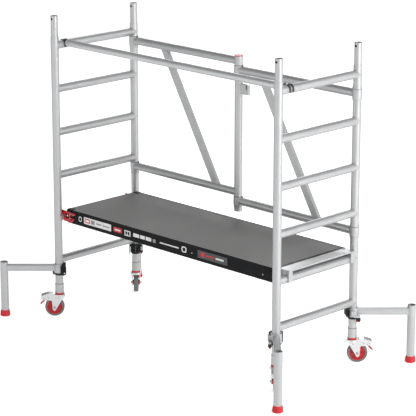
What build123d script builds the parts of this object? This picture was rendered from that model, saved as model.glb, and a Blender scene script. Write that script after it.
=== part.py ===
"""Mobile tower scaffold with a folding rear brace, outriggers and castors.

Millimetres, +Z up. The origin is on the floor at the centre of the four uprights.
+X runs along the deck, -Y is the open front with the guardrail, +Y the folding rear.
"""

import os

from build123d import *

os.makedirs("parts", exist_ok=True)

# ---- End frames -------------------------------------------------------------
frame_length = 1916.0  # upright axis to upright axis along the deck
frame_width = 676.0  # upright axis to upright axis across the deck
tube_radius = 25.4
tube_wall = 2.0
rung_undersize = 0.2  # a rung is this much smaller in radius than an upright
rung_wall = 2.3
upright_foot = 218.0
upright_above_rung = 54.0  # from the top rung's axis to the upright's open end
first_rung = 381.0
rung_pitch = 280.0
rung_count = 6
spigot_length = 134.0  # free length above the upright
spigot_engagement = 120.0
spigot_clearance = 0.05
spigot_relief = 1.0  # the free end is this much smaller than the engaged end
button_drop = 20.0
button_radius = 4.5
button_recess = 0.3

# ---- Castors ----------------------------------------------------------------
wheel_radius = 62.5
wheel_width = 29.0
tyre_depth = 13.0
castor_trail = 32.0
axle_radius = 6.0
kingpin_radius = 10.0
running_clearance = 0.05
sleeve_step = 2.6  # castor sleeve, beyond the tube
seal_step = 3.6
seal_bottom = 147.7
sleeve_bottom = 159.4
sleeve_plug = 40.0
fork_gap = 50.0
fork_sheet = 3.0
pedal_reach = 60.0  # from the axle out to the pedal's pin
pedal_height = 121.0
pedal_half_width = 12.0
kingpin_seat = 133.0
race_radius = 36.0
boss_radius = 8.5
boss_height = 3.0
housing_rivet = (39.0, 128.0)  # beyond the axle, above the floor
housing_rivet_radius = 5.0
hub_rim = 6.0
hub_recess = 5.0
hub_boss_radius = 15.0
hub_cone_radius = 28.0
hub_side_gap = 0.75
tyre_round = 5.0
pedal_pin_radius = 3.0

# ---- Outriggers -------------------------------------------------------------
leg_reach = 355.0
leg_top = 364.5
leg_foot_inset = 12.0
foot_height = 41.0
foot_rim = 7.6  # foot, beyond the leg tube
arm_size = 40.0
arm_centre = 325.0
clamp_bottom = 294.4
clamp_top = 350.0
clamp_wall = 7.6
collar_wall = 6.6
clamp_clearance = 0.08
collar_bottom = 278.0
collar_top = 294.0
bolt_offset = 31.0
bolt_height = 340.0
bolt_radius = 4.0
loop_side = 36.0
loop_length = 70.0
loop_width = 35.0
loop_thickness = 5.0
loop_bar = 8.0
bolt_length = 78.0
bolt_lug = (22.0, 66.0, 52.0)  # black block that carries the clamp bolt
lug_reach = 17.0  # the clamp's square lug, beyond its round body
knob_place = (32.0, -37.0)
knob_pin_radius = 4.0
knob_gap = 3.0

# ---- Folding rear brace -----------------------------------------------------
post_offset = -7.6  # centre post, from the middle of the tower along X
left_top_drop = 59.0  # left panel's upper tube, below the top rung
left_bottom_rise = 220.5  # left panel's lower tube, above the deck rung
right_top_drop = 115.0
right_bottom_rise = 166.0
brace_undersize = 0.4
hinge_wall = 4.6
hinge_above = 27.0
hinge_below = 44.0
hinge_taper = 20.0
hinge_clearance = 0.06
open_pivot_gap = 1.0
ring_step = 2.1
post_top_drop = 23.0  # below the top rung
post_bottom_rise = 100.0  # above the deck rung
post_cap_height = 6.0
post_plug_rim = 2.0
diagonal_size = 45.0
diagonal_depth = 25.0
left_diagonal_top = 284.0  # from the rear-left upright to the diagonal's upper end
right_diagonal_top = 190.0  # from the centre post to the diagonal's upper end
diagonal_run = 485.0  # along the panel, upper end to lower end
bracket_reach = 90.0
bracket_width = 20.0
bracket_height = 63.0
bracket_drop = 241.0  # from the post's top to the bracket's underside
bracket_sheet = 3.0

# ---- Platform ---------------------------------------------------------------
deck_gap = 34.5  # from an upright's axis to the side beam's face
deck_above_rung = 58.0
deck_thickness = 12.0
beam_lip = 2.0
beam_height = 89.0
beam_sheet = 3.0
beam_flange = 30.0
deck_left_gap = 53.0  # from the left uprights' axis to the deck
deck_right_gap = 41.0
nose_reach = 37.0  # beyond the right uprights' axis
nose_sheet = 4.0
nose_front_inset = 28.5
nose_rear_inset = 35.5
nose_lip = 9.0
claw_clearance = 0.1
claw_plate = 7.0
claw_drop = 16.0
claw_wall = 7.5
rear_claw_inset = 46.0  # from the side beam's face to the rear left claw
right_claw_width = 34.0
right_claw_front_inset = 49.5
right_claw_rear_inset = 12.5
trim_sheet = 6.0
trim_height = 26.0
rivet_radius = 4.0
rivet_head = 1.6

# ---- Guardrail --------------------------------------------------------------
rail_radius = 22.0
rail_inset = 80.0  # from the front upright axis
rail_rise = 8.0  # above the top rung
hook_wall = 6.0
hook_drop = 14.0
hook_plate = 9.0
hook_span = 34.0

# ---- Derived ----------------------------------------------------------------
half_length = frame_length / 2
half_width = frame_width / 2
tube_bore = tube_radius - tube_wall
rung_radius = tube_radius - rung_undersize
brace_radius = tube_radius - brace_undersize
hinge_radius = tube_radius + hinge_wall
ring_radius = tube_radius + ring_step
sleeve_radius = tube_radius + sleeve_step
seal_radius = tube_radius + seal_step
foot_radius = tube_radius + foot_rim
clamp_radius = tube_radius + clamp_wall
top_rung = first_rung + rung_pitch * (rung_count - 1)
deck_rung = first_rung + rung_pitch
upright_top = top_rung + upright_above_rung
spigot_top = upright_top + spigot_length
left_top_tube = top_rung - left_top_drop
left_bottom_tube = deck_rung + left_bottom_rise
right_top_tube = top_rung - right_top_drop
right_bottom_tube = deck_rung + right_bottom_rise
post_top = top_rung - post_top_drop
post_bottom = deck_rung + post_bottom_rise
bracket_bottom = post_top - bracket_drop
deck_side = half_width - deck_gap
deck_width = 2 * deck_side
deck_left = -half_length + deck_left_gap
deck_right = half_length - deck_right_gap
deck_top = deck_rung + deck_above_rung
beam_top = deck_top + beam_lip
nose_outer = half_length + nose_reach
nose_front = -deck_side + nose_front_inset
nose_rear = deck_side - nose_rear_inset
right_claw_centres = (-deck_side + right_claw_front_inset, deck_side - right_claw_rear_inset)
rail_height = top_rung + rail_rise
pedal_pivot = (castor_trail + pedal_reach, pedal_height)
rail_y = -half_width + rail_inset
UP = (Align.CENTER, Align.CENTER, Align.MIN)
DOWN = (Align.CENTER, Align.CENTER, Align.MAX)
ALONG_X = (0, 90, 0)
ALONG_Y = (90, 0, 0)

# Corner name, upright position and the direction the outrigger points in plan.
CORNERS = (
    ("front_left", -half_length, -half_width, 225),
    ("front_right", half_length, -half_width, 315),
    ("rear_left", -half_length, half_width, 135),
    ("rear_right", half_length, half_width, 45),
)


def save(piece, name):
    """Label a finished piece and write its STEP file."""
    piece.label = name
    export_step(piece, f"parts/{name}.step")


def save_at_corners(piece, name):
    """Write one copy of a corner piece at each upright, turned outward."""
    for corner, x, y, heading in CORNERS:
        placed = Location((x, y, 0), (0, 0, heading)) * piece
        save(placed, f"{name}_{corner}")


def end_frame(x):
    """Two uprights and six rungs, welded; the rungs open into the uprights."""
    rung_heights = [first_rung + rung_pitch * i for i in range(rung_count)]
    uprights = [(x, side * half_width, upright_foot) for side in (-1, 1)]
    rungs = [(x, 0, z) for z in rung_heights]
    with BuildPart() as frame:
        with Locations(*uprights):
            Cylinder(tube_radius, upright_top - upright_foot, align=UP)
        with Locations(*rungs):
            Cylinder(rung_radius, frame_width, rotation=ALONG_Y)
        with Locations(*uprights):
            Cylinder(tube_bore, upright_top - upright_foot, align=UP, mode=Mode.SUBTRACT)
        with Locations(*rungs):
            Cylinder(
                rung_radius - rung_wall,
                frame_width,
                rotation=ALONG_Y,
                mode=Mode.SUBTRACT,
            )
    return frame.part


def build_end_frames():
    save(end_frame(-half_length), "left_end_frame")
    save(end_frame(half_length), "right_end_frame")


def build_spigots():
    """Reduced tubes in the upright tops, with a spring button facing the front."""
    engaged = tube_bore - spigot_clearance
    free = engaged - spigot_relief
    bottom = upright_top - spigot_engagement
    bases = [(x, y, bottom) for _, x, y, _ in CORNERS]
    tops = [(x, y, upright_top) for _, x, y, _ in CORNERS]
    buttons = [(x, y - free, spigot_top - button_drop) for _, x, y, _ in CORNERS]
    with BuildPart() as spigots:
        with Locations(*tops):
            Cylinder(free, spigot_top - upright_top, align=UP)
        rims = spigots.edges().filter_by(GeomType.CIRCLE).group_by(Axis.Z)[-1]
        chamfer(rims, 1.5)
        with Locations(*bases):
            Cylinder(engaged, spigot_engagement, align=UP)
        with Locations(*bases):
            Cylinder(engaged - tube_wall, spigot_top - bottom, align=UP, mode=Mode.SUBTRACT)
        with Locations(*buttons):
            Cylinder(button_radius, 4 * tube_wall, rotation=ALONG_Y, mode=Mode.SUBTRACT)
    save(spigots.part, "frame_spigots")
    with BuildPart() as spring_buttons:
        with Locations(*[(x, y + button_recess, z) for x, y, z in buttons]):
            Cylinder(button_radius, 2 * tube_wall, rotation=ALONG_Y, align=DOWN)
    save(spring_buttons.part, "spigot_buttons")


def build_upright_fittings():
    """Castor sleeves, red seal rings and outrigger support collars on each upright."""
    sleeve_height = upright_foot - sleeve_bottom
    sleeve_points = [(x, y, sleeve_bottom) for _, x, y, _ in CORNERS]
    with BuildPart() as stem_sleeves:
        with Locations(*sleeve_points):
            Cylinder(sleeve_radius, sleeve_height, align=UP)
        with Locations(*[(x, y, upright_foot) for _, x, y, _ in CORNERS]):
            Cylinder(tube_bore - spigot_clearance, sleeve_plug, align=UP)
        with Locations(*sleeve_points):
            Cylinder(
                kingpin_radius + running_clearance,
                sleeve_height + sleeve_plug,
                align=UP,
                mode=Mode.SUBTRACT,
            )
    save(stem_sleeves.part, "stem_sleeves")
    with BuildPart() as seal_rings:
        with Locations(*[(x, y, seal_bottom) for _, x, y, _ in CORNERS]):
            Cylinder(seal_radius, sleeve_bottom - seal_bottom, align=UP)
        fillet(seal_rings.edges().filter_by(GeomType.CIRCLE), 1.5)
        with Locations(*[(x, y, seal_bottom) for _, x, y, _ in CORNERS]):
            Cylinder(kingpin_radius + 0.5, 20, align=UP, mode=Mode.SUBTRACT)
    save(seal_rings.part, "seal_rings")
    with BuildPart() as support_collars:
        with Locations(*[(x, y, collar_bottom) for _, x, y, _ in CORNERS]):
            Cylinder(tube_radius + collar_wall, collar_top - collar_bottom, align=UP)
        lower = support_collars.edges().filter_by(GeomType.CIRCLE).group_by(Axis.Z)[0]
        chamfer(lower, 4)
        with Locations(*[(x, y, collar_bottom) for _, x, y, _ in CORNERS]):
            Cylinder(tube_radius, collar_top - collar_bottom, align=UP, mode=Mode.SUBTRACT)
    save(support_collars.part, "support_collars")


def build_castors():
    """Fork with brake arm, red hub, grey tyre and red pedal, trailing outward."""
    fork_half = fork_gap / 2 + fork_sheet
    head_top = seal_bottom - 0.3
    axle_x = castor_trail
    outline = [
        (-34, head_top - 2),
        (-33, kingpin_seat + 3),
        (-10, 104),
        (axle_x - 11, wheel_radius - 12.5),
        (axle_x - 6, wheel_radius - 20.5),
        (axle_x + 2, wheel_radius - 23.5),
        (axle_x + 9, wheel_radius - 19.5),
        (axle_x + 13, wheel_radius - 10.5),
        (axle_x + 16, 102),
        (axle_x + 22, 109),
        (axle_x + 44, 110),
        (axle_x + 87, 114),
        (axle_x + 87, 139),
        (axle_x + 54, 150),
        (axle_x + 37, 154),
        (axle_x + 13, 153),
        (axle_x, head_top),
    ]
    hollow = [
        (-45, kingpin_seat),
        (axle_x - 2, kingpin_seat),
        (axle_x + 12, 150),
        (axle_x + 37, 151),
        (axle_x + 54, 147),
        (axle_x + 84, 136.5),
        (axle_x + 84, 100),
        (axle_x + 84, 20),
        (-45, 20),
    ]
    with BuildPart() as fork:
        with BuildSketch(Plane.XZ):
            with BuildLine():
                Polyline(*outline, close=True)
            make_face()
        extrude(amount=fork_half, both=True)
        with BuildSketch(Plane.XZ):
            with BuildLine():
                Polyline(*hollow, close=True)
            make_face()
        extrude(amount=fork_gap / 2, both=True, mode=Mode.SUBTRACT)
        with Locations((0, 0, kingpin_seat)):
            Cylinder(race_radius, head_top - kingpin_seat, align=UP)
            Cylinder(kingpin_radius, upright_foot + sleeve_plug - kingpin_seat - 2, align=UP)
        with Locations((castor_trail, 0, wheel_radius)):
            Cylinder(axle_radius, 2 * fork_half + 5, rotation=ALONG_Y)
        for side in (-1, 1):
            with Locations((castor_trail, side * (fork_half + boss_height / 2), wheel_radius)):
                Cylinder(boss_radius, boss_height, rotation=ALONG_Y)
            rivet_x = castor_trail + housing_rivet[0]
            with Locations((rivet_x, side * (fork_half + 1), housing_rivet[1])):
                Cylinder(housing_rivet_radius, 2, rotation=ALONG_Y)
        with Locations((pedal_pivot[0], 0, pedal_pivot[1])):
            Cylinder(
                pedal_pin_radius + running_clearance,
                2 * fork_half + 2,
                rotation=ALONG_Y,
                mode=Mode.SUBTRACT,
            )
    save_at_corners(fork.part, "castor_fork")

    hub_radius = wheel_radius - tyre_depth
    with BuildPart() as hub:
        with Locations((castor_trail, 0, wheel_radius)):
            Cylinder(hub_radius, wheel_width - 2, rotation=ALONG_Y)
        for side in (-1, 1):
            with Locations((castor_trail, side * (wheel_width / 2 - 1), wheel_radius)):
                Cylinder(hub_radius - hub_rim, 2 * hub_recess, rotation=ALONG_Y, mode=Mode.SUBTRACT)
        cone_length = fork_gap / 2 - hub_side_gap
        for turn in (-90, 90):
            with Locations((castor_trail, 0, wheel_radius)):
                Cone(
                    hub_cone_radius,
                    hub_boss_radius,
                    cone_length,
                    rotation=(turn, 0, 0),
                    align=UP,
                )
        with Locations((castor_trail, 0, wheel_radius)):
            Cylinder(
                axle_radius + running_clearance,
                fork_gap + 2,
                rotation=ALONG_Y,
                mode=Mode.SUBTRACT,
            )
    save_at_corners(hub.part, "castor_hub")

    with BuildPart() as tyre:
        with Locations((castor_trail, 0, wheel_radius)):
            Cylinder(wheel_radius, wheel_width, rotation=ALONG_Y)
        fillet(tyre.edges().filter_by(GeomType.CIRCLE), tyre_round)
        with Locations((castor_trail, 0, wheel_radius)):
            Cylinder(hub_radius, wheel_width + 2, rotation=ALONG_Y, mode=Mode.SUBTRACT)
    save_at_corners(tyre.part, "castor_tyre")

    px, pz = pedal_pivot
    with BuildPart() as pedal:
        with BuildSketch(Plane.XZ):
            with BuildLine():
                Polyline(
                    (px - 4, pz),
                    (px + 1, pz + 4),
                    (px + 5, pz - 2),
                    (px + 6, pz - 13),
                    (px + 34, pz - 40),
                    (px + 30, pz - 44),
                    (px, pz - 16),
                    close=True,
                )
            make_face()
        extrude(amount=pedal_half_width, both=True)
        with Locations((px, 0, pz)):
            Cylinder(5.5, fork_gap - 2, rotation=ALONG_Y)
        with Locations((px, 0, pz)):
            Cylinder(pedal_pin_radius, 2 * fork_half - 1, rotation=ALONG_Y)
    save_at_corners(pedal.part, "castor_pedal")


def build_outriggers():
    """Swinging stabiliser: clamp, square arm, open leg tube, foot, handle and knob."""
    leg_height = leg_top - leg_foot_inset
    with BuildPart() as arm:
        with Locations((clamp_radius - 4, 0, arm_centre)):
            Box(
                leg_reach - clamp_radius + 4,
                arm_size,
                arm_size,
                align=(Align.MIN, Align.CENTER, Align.CENTER),
            )
        fillet(arm.edges().filter_by(Axis.X), 4)
        with Locations((leg_reach, 0, leg_foot_inset)):
            Cylinder(tube_radius, leg_height, align=UP)
        with Locations((0, 0, arm_centre)):
            Box(
                leg_reach,
                arm_size - 2 * tube_wall,
                arm_size - 2 * tube_wall,
                align=(Align.MIN, Align.CENTER, Align.CENTER),
                mode=Mode.SUBTRACT,
            )
        with Locations((leg_reach, 0, leg_foot_inset)):
            Cylinder(tube_bore, leg_height, align=UP, mode=Mode.SUBTRACT)
        Cylinder(clamp_radius, 2 * leg_top, mode=Mode.SUBTRACT)
    save_at_corners(arm.part, "outrigger_arm")

    with BuildPart() as foot:
        with BuildSketch(Plane.XZ):
            with BuildLine():
                Polyline(
                    (0, 0),
                    (foot_radius - 4, 0),
                    (foot_radius, 6),
                    (tube_radius + 3, foot_height - 3),
                    (tube_radius + 2, foot_height),
                    (tube_radius, foot_height),
                    (tube_radius, leg_foot_inset),
                    (0, leg_foot_inset),
                    close=True,
                )
            make_face()
        revolve(axis=Axis.Z)
    placed_foot = Location((leg_reach, 0, 0)) * foot.part
    save_at_corners(placed_foot, "outrigger_foot")

    clamp_height = clamp_top - clamp_bottom
    knob_x, knob_y = knob_place
    with BuildPart() as clamp:
        with Locations((0, 0, clamp_bottom)):
            Cylinder(clamp_radius, clamp_height, align=UP)
        with Locations((-bolt_offset, 0, clamp_top)):
            Box(*bolt_lug, align=DOWN)
        with Locations((0, -clamp_radius - lug_reach + 15, 320)):
            Box(26, 30, 36)
        fillet(clamp.edges().filter_by(Axis.Z).group_by(Axis.Y)[0], 6)
        with Locations((knob_x - 8, knob_y, clamp_bottom + 6)):
            Box(36, 16, 12)
        with Locations((0, 0, clamp_bottom)):
            Cylinder(
                tube_radius + clamp_clearance,
                clamp_height,
                align=UP,
                mode=Mode.SUBTRACT,
            )
        with Locations((-40, 0, clamp_bottom)):
            Box(40, 4, 2 * clamp_height, mode=Mode.SUBTRACT)
        with Locations((-bolt_offset, 0, bolt_height)):
            Cylinder(
                bolt_radius + running_clearance,
                100,
                rotation=ALONG_Y,
                mode=Mode.SUBTRACT,
            )
        with Locations((knob_x, knob_y, clamp_bottom)):
            Cylinder(knob_pin_radius + running_clearance, 40, mode=Mode.SUBTRACT)
    save_at_corners(clamp.part, "outrigger_clamp")

    loop_middle = bolt_height + loop_width / 2 - loop_length / 2 - 6
    with BuildPart() as handle:
        with BuildSketch(Plane.XZ.offset(-loop_side)):
            with Locations((-bolt_offset, loop_middle)):
                SlotOverall(loop_length, loop_width, rotation=90)
                SlotOverall(
                    loop_length - 2 * loop_bar,
                    loop_width - 2 * loop_bar,
                    rotation=90,
                    mode=Mode.SUBTRACT,
                )
        extrude(amount=-loop_thickness)
        with Locations((-bolt_offset, loop_side + loop_thickness / 2 - 1, bolt_height)):
            Cylinder(9, loop_thickness + 2, rotation=ALONG_Y)
        with Locations((-bolt_offset, loop_side, bolt_height)):
            Cylinder(bolt_radius, bolt_length, rotation=ALONG_Y, align=UP)
        with Locations((-bolt_offset, loop_side - bolt_length, bolt_height)):
            Cylinder(8, 9, rotation=ALONG_Y, align=(Align.CENTER, Align.CENTER, Align.MAX))
    save_at_corners(handle.part, "outrigger_handle")

    with BuildPart() as knob:
        with Locations((knob_x, knob_y, clamp_bottom - knob_gap)):
            Box(28, 18, 17, align=DOWN)
        fillet(knob.edges().filter_by(Axis.Z), 6)
        with Locations((knob_x, knob_y, clamp_bottom - knob_gap - 17)):
            Box(22, 13, 7, align=DOWN)
        with Locations((knob_x, knob_y, clamp_bottom - knob_gap - 1)):
            Cylinder(knob_pin_radius, 14, align=UP)
    save_at_corners(knob.part, "outrigger_knob")


def hinge_sleeve(x, y, height):
    """Add one tapered hinge sleeve round a vertical tube."""
    with Locations((x, y, height - hinge_below + hinge_taper)):
        Cylinder(hinge_radius, hinge_above + hinge_below - hinge_taper, align=UP)
    with Locations((x, y, height - hinge_below)):
        Cone(tube_radius + 1.6, hinge_radius, hinge_taper, align=UP)


def panel(left, right, top, bottom, diagonal_start, end_cope):
    """One brace panel: two tubes, hinge sleeves at the left end and a diagonal, welded."""
    span = right - left
    heights = (top, bottom)
    upper = Vector(diagonal_start, half_width, top)
    lower = Vector(diagonal_start + diagonal_run, half_width, bottom)
    slope = Plane(origin=upper, x_dir=(0, 1, 0), z_dir=lower - upper)
    length = (lower - upper).length
    with BuildPart() as built:
        for z in heights:
            hinge_sleeve(left, half_width, z)
        with Locations(*[(left, half_width, z) for z in heights]):
            Cylinder(brace_radius, span, rotation=ALONG_X, align=UP)
        with BuildSketch(slope):
            Rectangle(diagonal_depth, diagonal_size)
        extrude(amount=length)
        with BuildSketch(slope):
            Rectangle(diagonal_depth - 2 * tube_wall, diagonal_size - 2 * tube_wall)
        extrude(amount=length, mode=Mode.SUBTRACT)
        near = hinge_radius + 4
        with Locations(*[(left + near, half_width, z) for z in heights]):
            Cylinder(
                brace_radius - tube_wall,
                span - near,
                rotation=ALONG_X,
                align=UP,
                mode=Mode.SUBTRACT,
            )
        with Locations((left, half_width, 0)):
            Cylinder(
                tube_radius + hinge_clearance,
                2 * upright_top,
                align=UP,
                mode=Mode.SUBTRACT,
            )
        with Locations((right, half_width, 0)):
            Cylinder(end_cope, 2 * upright_top, align=UP, mode=Mode.SUBTRACT)
    return built.part


def build_rear_brace():
    """Two folding panels, the post they share and the collars they turn in."""
    left_panel = panel(
        -half_length,
        post_offset,
        left_top_tube,
        left_bottom_tube,
        -half_length + left_diagonal_top,
        tube_radius,
    )
    save(left_panel, "rear_left_panel")
    right_panel = panel(
        post_offset,
        half_length,
        right_top_tube,
        right_bottom_tube,
        post_offset + right_diagonal_top,
        hinge_radius + open_pivot_gap,
    )
    save(right_panel, "rear_right_panel")

    post_length = post_top - post_bottom - post_cap_height - post_plug_rim
    bracket_start = post_offset + tube_radius - 3
    bracket_front = half_width - bracket_width / 2
    with BuildPart() as post:
        with Locations((post_offset, half_width, post_bottom + post_plug_rim)):
            Cylinder(tube_radius, post_length, align=UP)
        with Locations((bracket_start, half_width, bracket_bottom)):
            Box(
                bracket_reach - tube_radius + 3,
                bracket_width,
                bracket_height,
                align=(Align.MIN, Align.CENTER, Align.MIN),
            )
        with Locations((bracket_start, half_width, bracket_bottom + bracket_sheet)):
            Box(
                bracket_reach - tube_radius + 3 - bracket_sheet,
                bracket_width - 2 * bracket_sheet,
                bracket_height,
                align=(Align.MIN, Align.CENTER, Align.MIN),
                mode=Mode.SUBTRACT,
            )
        slot_x = post_offset + bracket_reach - 14
        with Locations((slot_x, bracket_front, bracket_bottom + bracket_height)):
            Box(9, 2 * bracket_width + 2, 60, mode=Mode.SUBTRACT)
        with Locations((post_offset, half_width, post_bottom + post_plug_rim)):
            Cylinder(tube_bore, post_length, align=UP, mode=Mode.SUBTRACT)
    save(post.part, "centre_post")

    with BuildPart() as post_caps:
        with Locations((post_offset, half_width, post_top)):
            Cylinder(tube_radius + 1, post_cap_height, align=DOWN)
        with Locations((post_offset, half_width, post_top - post_cap_height)):
            Cylinder(tube_bore - spigot_clearance, 18, align=DOWN)
        with Locations((post_offset, half_width, post_bottom)):
            Cylinder(tube_radius - 0.5, post_plug_rim, align=UP)
        with Locations((post_offset, half_width, post_bottom + post_plug_rim)):
            Cylinder(tube_bore - spigot_clearance, 12, align=UP)
    save(post_caps.part, "post_caps")

    with BuildPart() as collars:
        for z in (right_top_tube, right_bottom_tube):
            hinge_sleeve(half_length, half_width, z)
            with Locations((half_length, half_width, z + hinge_above + 1.5)):
                Cylinder(ring_radius, 16, align=UP)
        for z in (left_top_tube, left_bottom_tube):
            with Locations((-half_length, half_width, z - hinge_below - 0.4)):
                Cylinder(ring_radius, 7, align=DOWN)
        for x in (-half_length, half_length):
            with Locations((x, half_width, 0)):
                Cylinder(tube_radius, 2 * upright_top, align=UP, mode=Mode.SUBTRACT)
    save(collars.part, "hinge_collars")


def side_beam(side):
    """Black side beam: web, bottom flange and the ledge that carries the board."""
    web = side * (deck_side - beam_sheet / 2)
    flange = side * (deck_side - beam_flange / 2)
    length = deck_right - deck_left
    middle = (deck_right + deck_left) / 2
    ledge_top = deck_top - deck_thickness
    beam_bottom = beam_top - beam_height
    with BuildPart() as beam:
        with Locations((middle, web, beam_bottom)):
            Box(length, beam_sheet, beam_height, align=UP)
        with Locations((middle, flange, beam_bottom)):
            Box(length, beam_flange, beam_sheet, align=UP)
        with Locations((middle, flange, ledge_top)):
            Box(length, beam_flange, beam_sheet, align=DOWN)
    return beam.part


def build_platform():
    """Deck board in a rim of beams, with claws over the second rungs."""
    board_side = deck_side - beam_sheet
    with BuildPart() as board:
        with Locations(((deck_left + deck_right) / 2, 0, deck_top)):
            Box(deck_right - deck_left, 2 * board_side, deck_thickness, align=DOWN)
    save(board.part, "deck_board")
    save(side_beam(-1), "side_beam_front")
    save(side_beam(1), "side_beam_rear")

    ledge_top = deck_top - deck_thickness
    beam_bottom = beam_top - beam_height
    with BuildPart() as left_end:
        with Locations((deck_left + 2, 0, beam_bottom + beam_sheet)):
            Box(4, 2 * board_side, ledge_top - beam_bottom - 2 * beam_sheet, align=UP)
        with Locations((deck_left - trim_sheet / 2, 0, deck_top)):
            Box(trim_sheet, deck_width, trim_height, align=DOWN)
    save(left_end.part, "left_end_trim")

    nose_span = nose_rear - nose_front
    nose_middle = (nose_rear + nose_front) / 2
    with BuildPart() as nose:
        with Locations((deck_right, nose_middle, deck_top + 1)):
            Box(
                nose_outer - deck_right,
                nose_span,
                nose_sheet,
                align=(Align.MIN, Align.CENTER, Align.MAX),
            )
        with Locations((deck_right, 0, beam_bottom)):
            Box(
                nose_sheet,
                deck_width,
                deck_top + 1 - beam_bottom,
                align=(Align.MIN, Align.CENTER, Align.MIN),
            )
        with Locations((nose_outer, nose_middle, deck_top + 1)):
            Box(3, nose_span, nose_lip, align=(Align.MAX, Align.CENTER, Align.MAX))
    save(nose.part, "right_end_profile")

    rung = (-half_length, deck_rung)
    grip = rung_radius + claw_clearance
    claw_outline = [
        (-3, 48),
        (133, 40),
        (133, 32),
        (68, 12),
        (126, 2),
        (98, -22),
        (grip + 0.7, -22),
        (grip + 0.7, 0),
        (-3, 0),
    ]
    claw_points = [(rung[0] + dx, rung[1] + dz) for dx, dz in claw_outline]
    trim_bottom = deck_top - trim_height
    inner_points = [
        (rung[0] - 3, rung[1] + 48),
        (deck_left - trim_sheet, rung[1] + 46),
        (deck_left - trim_sheet, trim_bottom),
        (deck_left, trim_bottom),
        (deck_left, rung[1] - 22),
        (rung[0] + grip + 0.7, rung[1] - 22),
        (rung[0] + grip + 0.7, rung[1]),
        (rung[0] - 3, rung[1]),
    ]
    inner_face = deck_side - rear_claw_inset
    with BuildPart() as left_claws:
        for points, face in ((claw_points, -deck_side), (inner_points, inner_face)):
            with BuildSketch(Plane.XZ.offset(-face)):
                with BuildLine():
                    Polyline(*points, close=True)
                make_face()
                with Locations(rung):
                    Circle(grip, mode=Mode.SUBTRACT)
            extrude(amount=claw_plate)
    save(left_claws.part, "left_claws")

    claw_left = deck_right + nose_sheet - half_length
    claw_right = grip + claw_wall
    under_nose = deck_top + 1 - nose_sheet - deck_rung
    right_outline = [
        (claw_left, under_nose),
        (claw_right, under_nose),
        (claw_right, -claw_drop),
        (grip, -claw_drop),
        (grip, 0),
        (claw_left, 0),
    ]
    right_points = [(half_length + dx, deck_rung + dz) for dx, dz in right_outline]
    with BuildPart() as right_claws:
        for centre in right_claw_centres:
            with BuildSketch(Plane.XZ.offset(-centre - right_claw_width / 2)):
                with BuildLine():
                    Polyline(*right_points, close=True)
                make_face()
                with Locations((half_length, deck_rung)):
                    Circle(grip, mode=Mode.SUBTRACT)
            extrude(amount=right_claw_width)
    save(right_claws.part, "right_claws")

    claw_face = deck_side + claw_plate
    half_head = rivet_head / 2
    rivet_points = [
        (deck_right - 688, -deck_side - half_head, deck_rung + 8),
        (deck_right - 688, deck_side + half_head, deck_rung + 8),
        (deck_right - 100, -deck_side - half_head, deck_rung + 4),
        (deck_right - 100, deck_side + half_head, deck_rung + 4),
        (deck_left + 65, -claw_face - half_head, deck_rung + 31),
        (deck_left + 33, -claw_face - half_head, deck_rung + 29),
        (deck_left + 33, -claw_face - half_head, deck_rung + 3),
    ]
    with BuildPart() as rivets:
        with Locations(*rivet_points):
            Cylinder(rivet_radius, rivet_head, rotation=ALONG_Y)
    save(rivets.part, "platform_rivets")


def build_guardrail():
    """Front rail with a pair of hook plates over each top rung."""
    grip = rung_radius + claw_clearance
    outer = grip + hook_wall
    end_gap = outer + 5
    with BuildPart() as rail:
        with Locations((0, rail_y, rail_height)):
            Cylinder(rail_radius, frame_length - 2 * end_gap, rotation=ALONG_X)
            Cylinder(
                rail_radius - tube_wall,
                frame_length - 2 * end_gap,
                rotation=ALONG_X,
                mode=Mode.SUBTRACT,
            )
    save(rail.part, "guardrail_tube")

    with BuildPart() as hooks:
        for x in (-half_length, half_length):
            inward = -1 if x > 0 else 1
            for face in (rail_y - hook_span / 2, rail_y + hook_span / 2 - hook_plate):
                with BuildSketch(Plane.XZ.offset(-face - hook_plate)):
                    with Locations((x, top_rung)):
                        Circle(outer)
                    with Locations((x, top_rung)):
                        Rectangle(2 * outer, hook_drop, align=(Align.CENTER, Align.MAX))
                        Circle(grip, mode=Mode.SUBTRACT)
                        Rectangle(
                            2 * grip,
                            2 * outer,
                            align=(Align.CENTER, Align.MAX),
                            mode=Mode.SUBTRACT,
                        )
                extrude(amount=hook_plate)
            with Locations((x + inward * (outer + 2), rail_y, rail_height)):
                Box(6, hook_span, 2 * rail_radius)
    save(hooks.part, "guardrail_hooks")


build_end_frames()
build_spigots()
build_upright_fittings()
build_castors()
build_outriggers()
build_rear_brace()
build_platform()
build_guardrail()
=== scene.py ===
"""Mobile tower scaffold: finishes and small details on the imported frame.

The script is laid out as an add-on and is run as a script. Lengths are in metres.
"""

import math

import bmesh
import bpy
from bpy.props import FloatProperty, FloatVectorProperty, IntProperty, PointerProperty
from bpy.types import Operator, Panel, PropertyGroup
from mathutils import Matrix, Vector


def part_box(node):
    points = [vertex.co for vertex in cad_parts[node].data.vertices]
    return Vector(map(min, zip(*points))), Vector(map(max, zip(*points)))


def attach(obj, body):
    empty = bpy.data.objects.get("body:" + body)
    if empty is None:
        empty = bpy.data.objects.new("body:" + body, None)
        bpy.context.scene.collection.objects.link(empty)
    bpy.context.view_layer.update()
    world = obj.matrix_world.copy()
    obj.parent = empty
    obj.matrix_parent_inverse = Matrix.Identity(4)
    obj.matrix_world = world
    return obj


bl_info = {
    "name": "Mobile Tower Scaffold",
    "version": (1, 0, 0),
    "blender": (4, 5, 0),
    "location": "3D View > Sidebar > Tower",
    "description": "Finishes a tower scaffold and adds its welds, fasteners and plain labels",
    "category": "Object",
}

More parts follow.
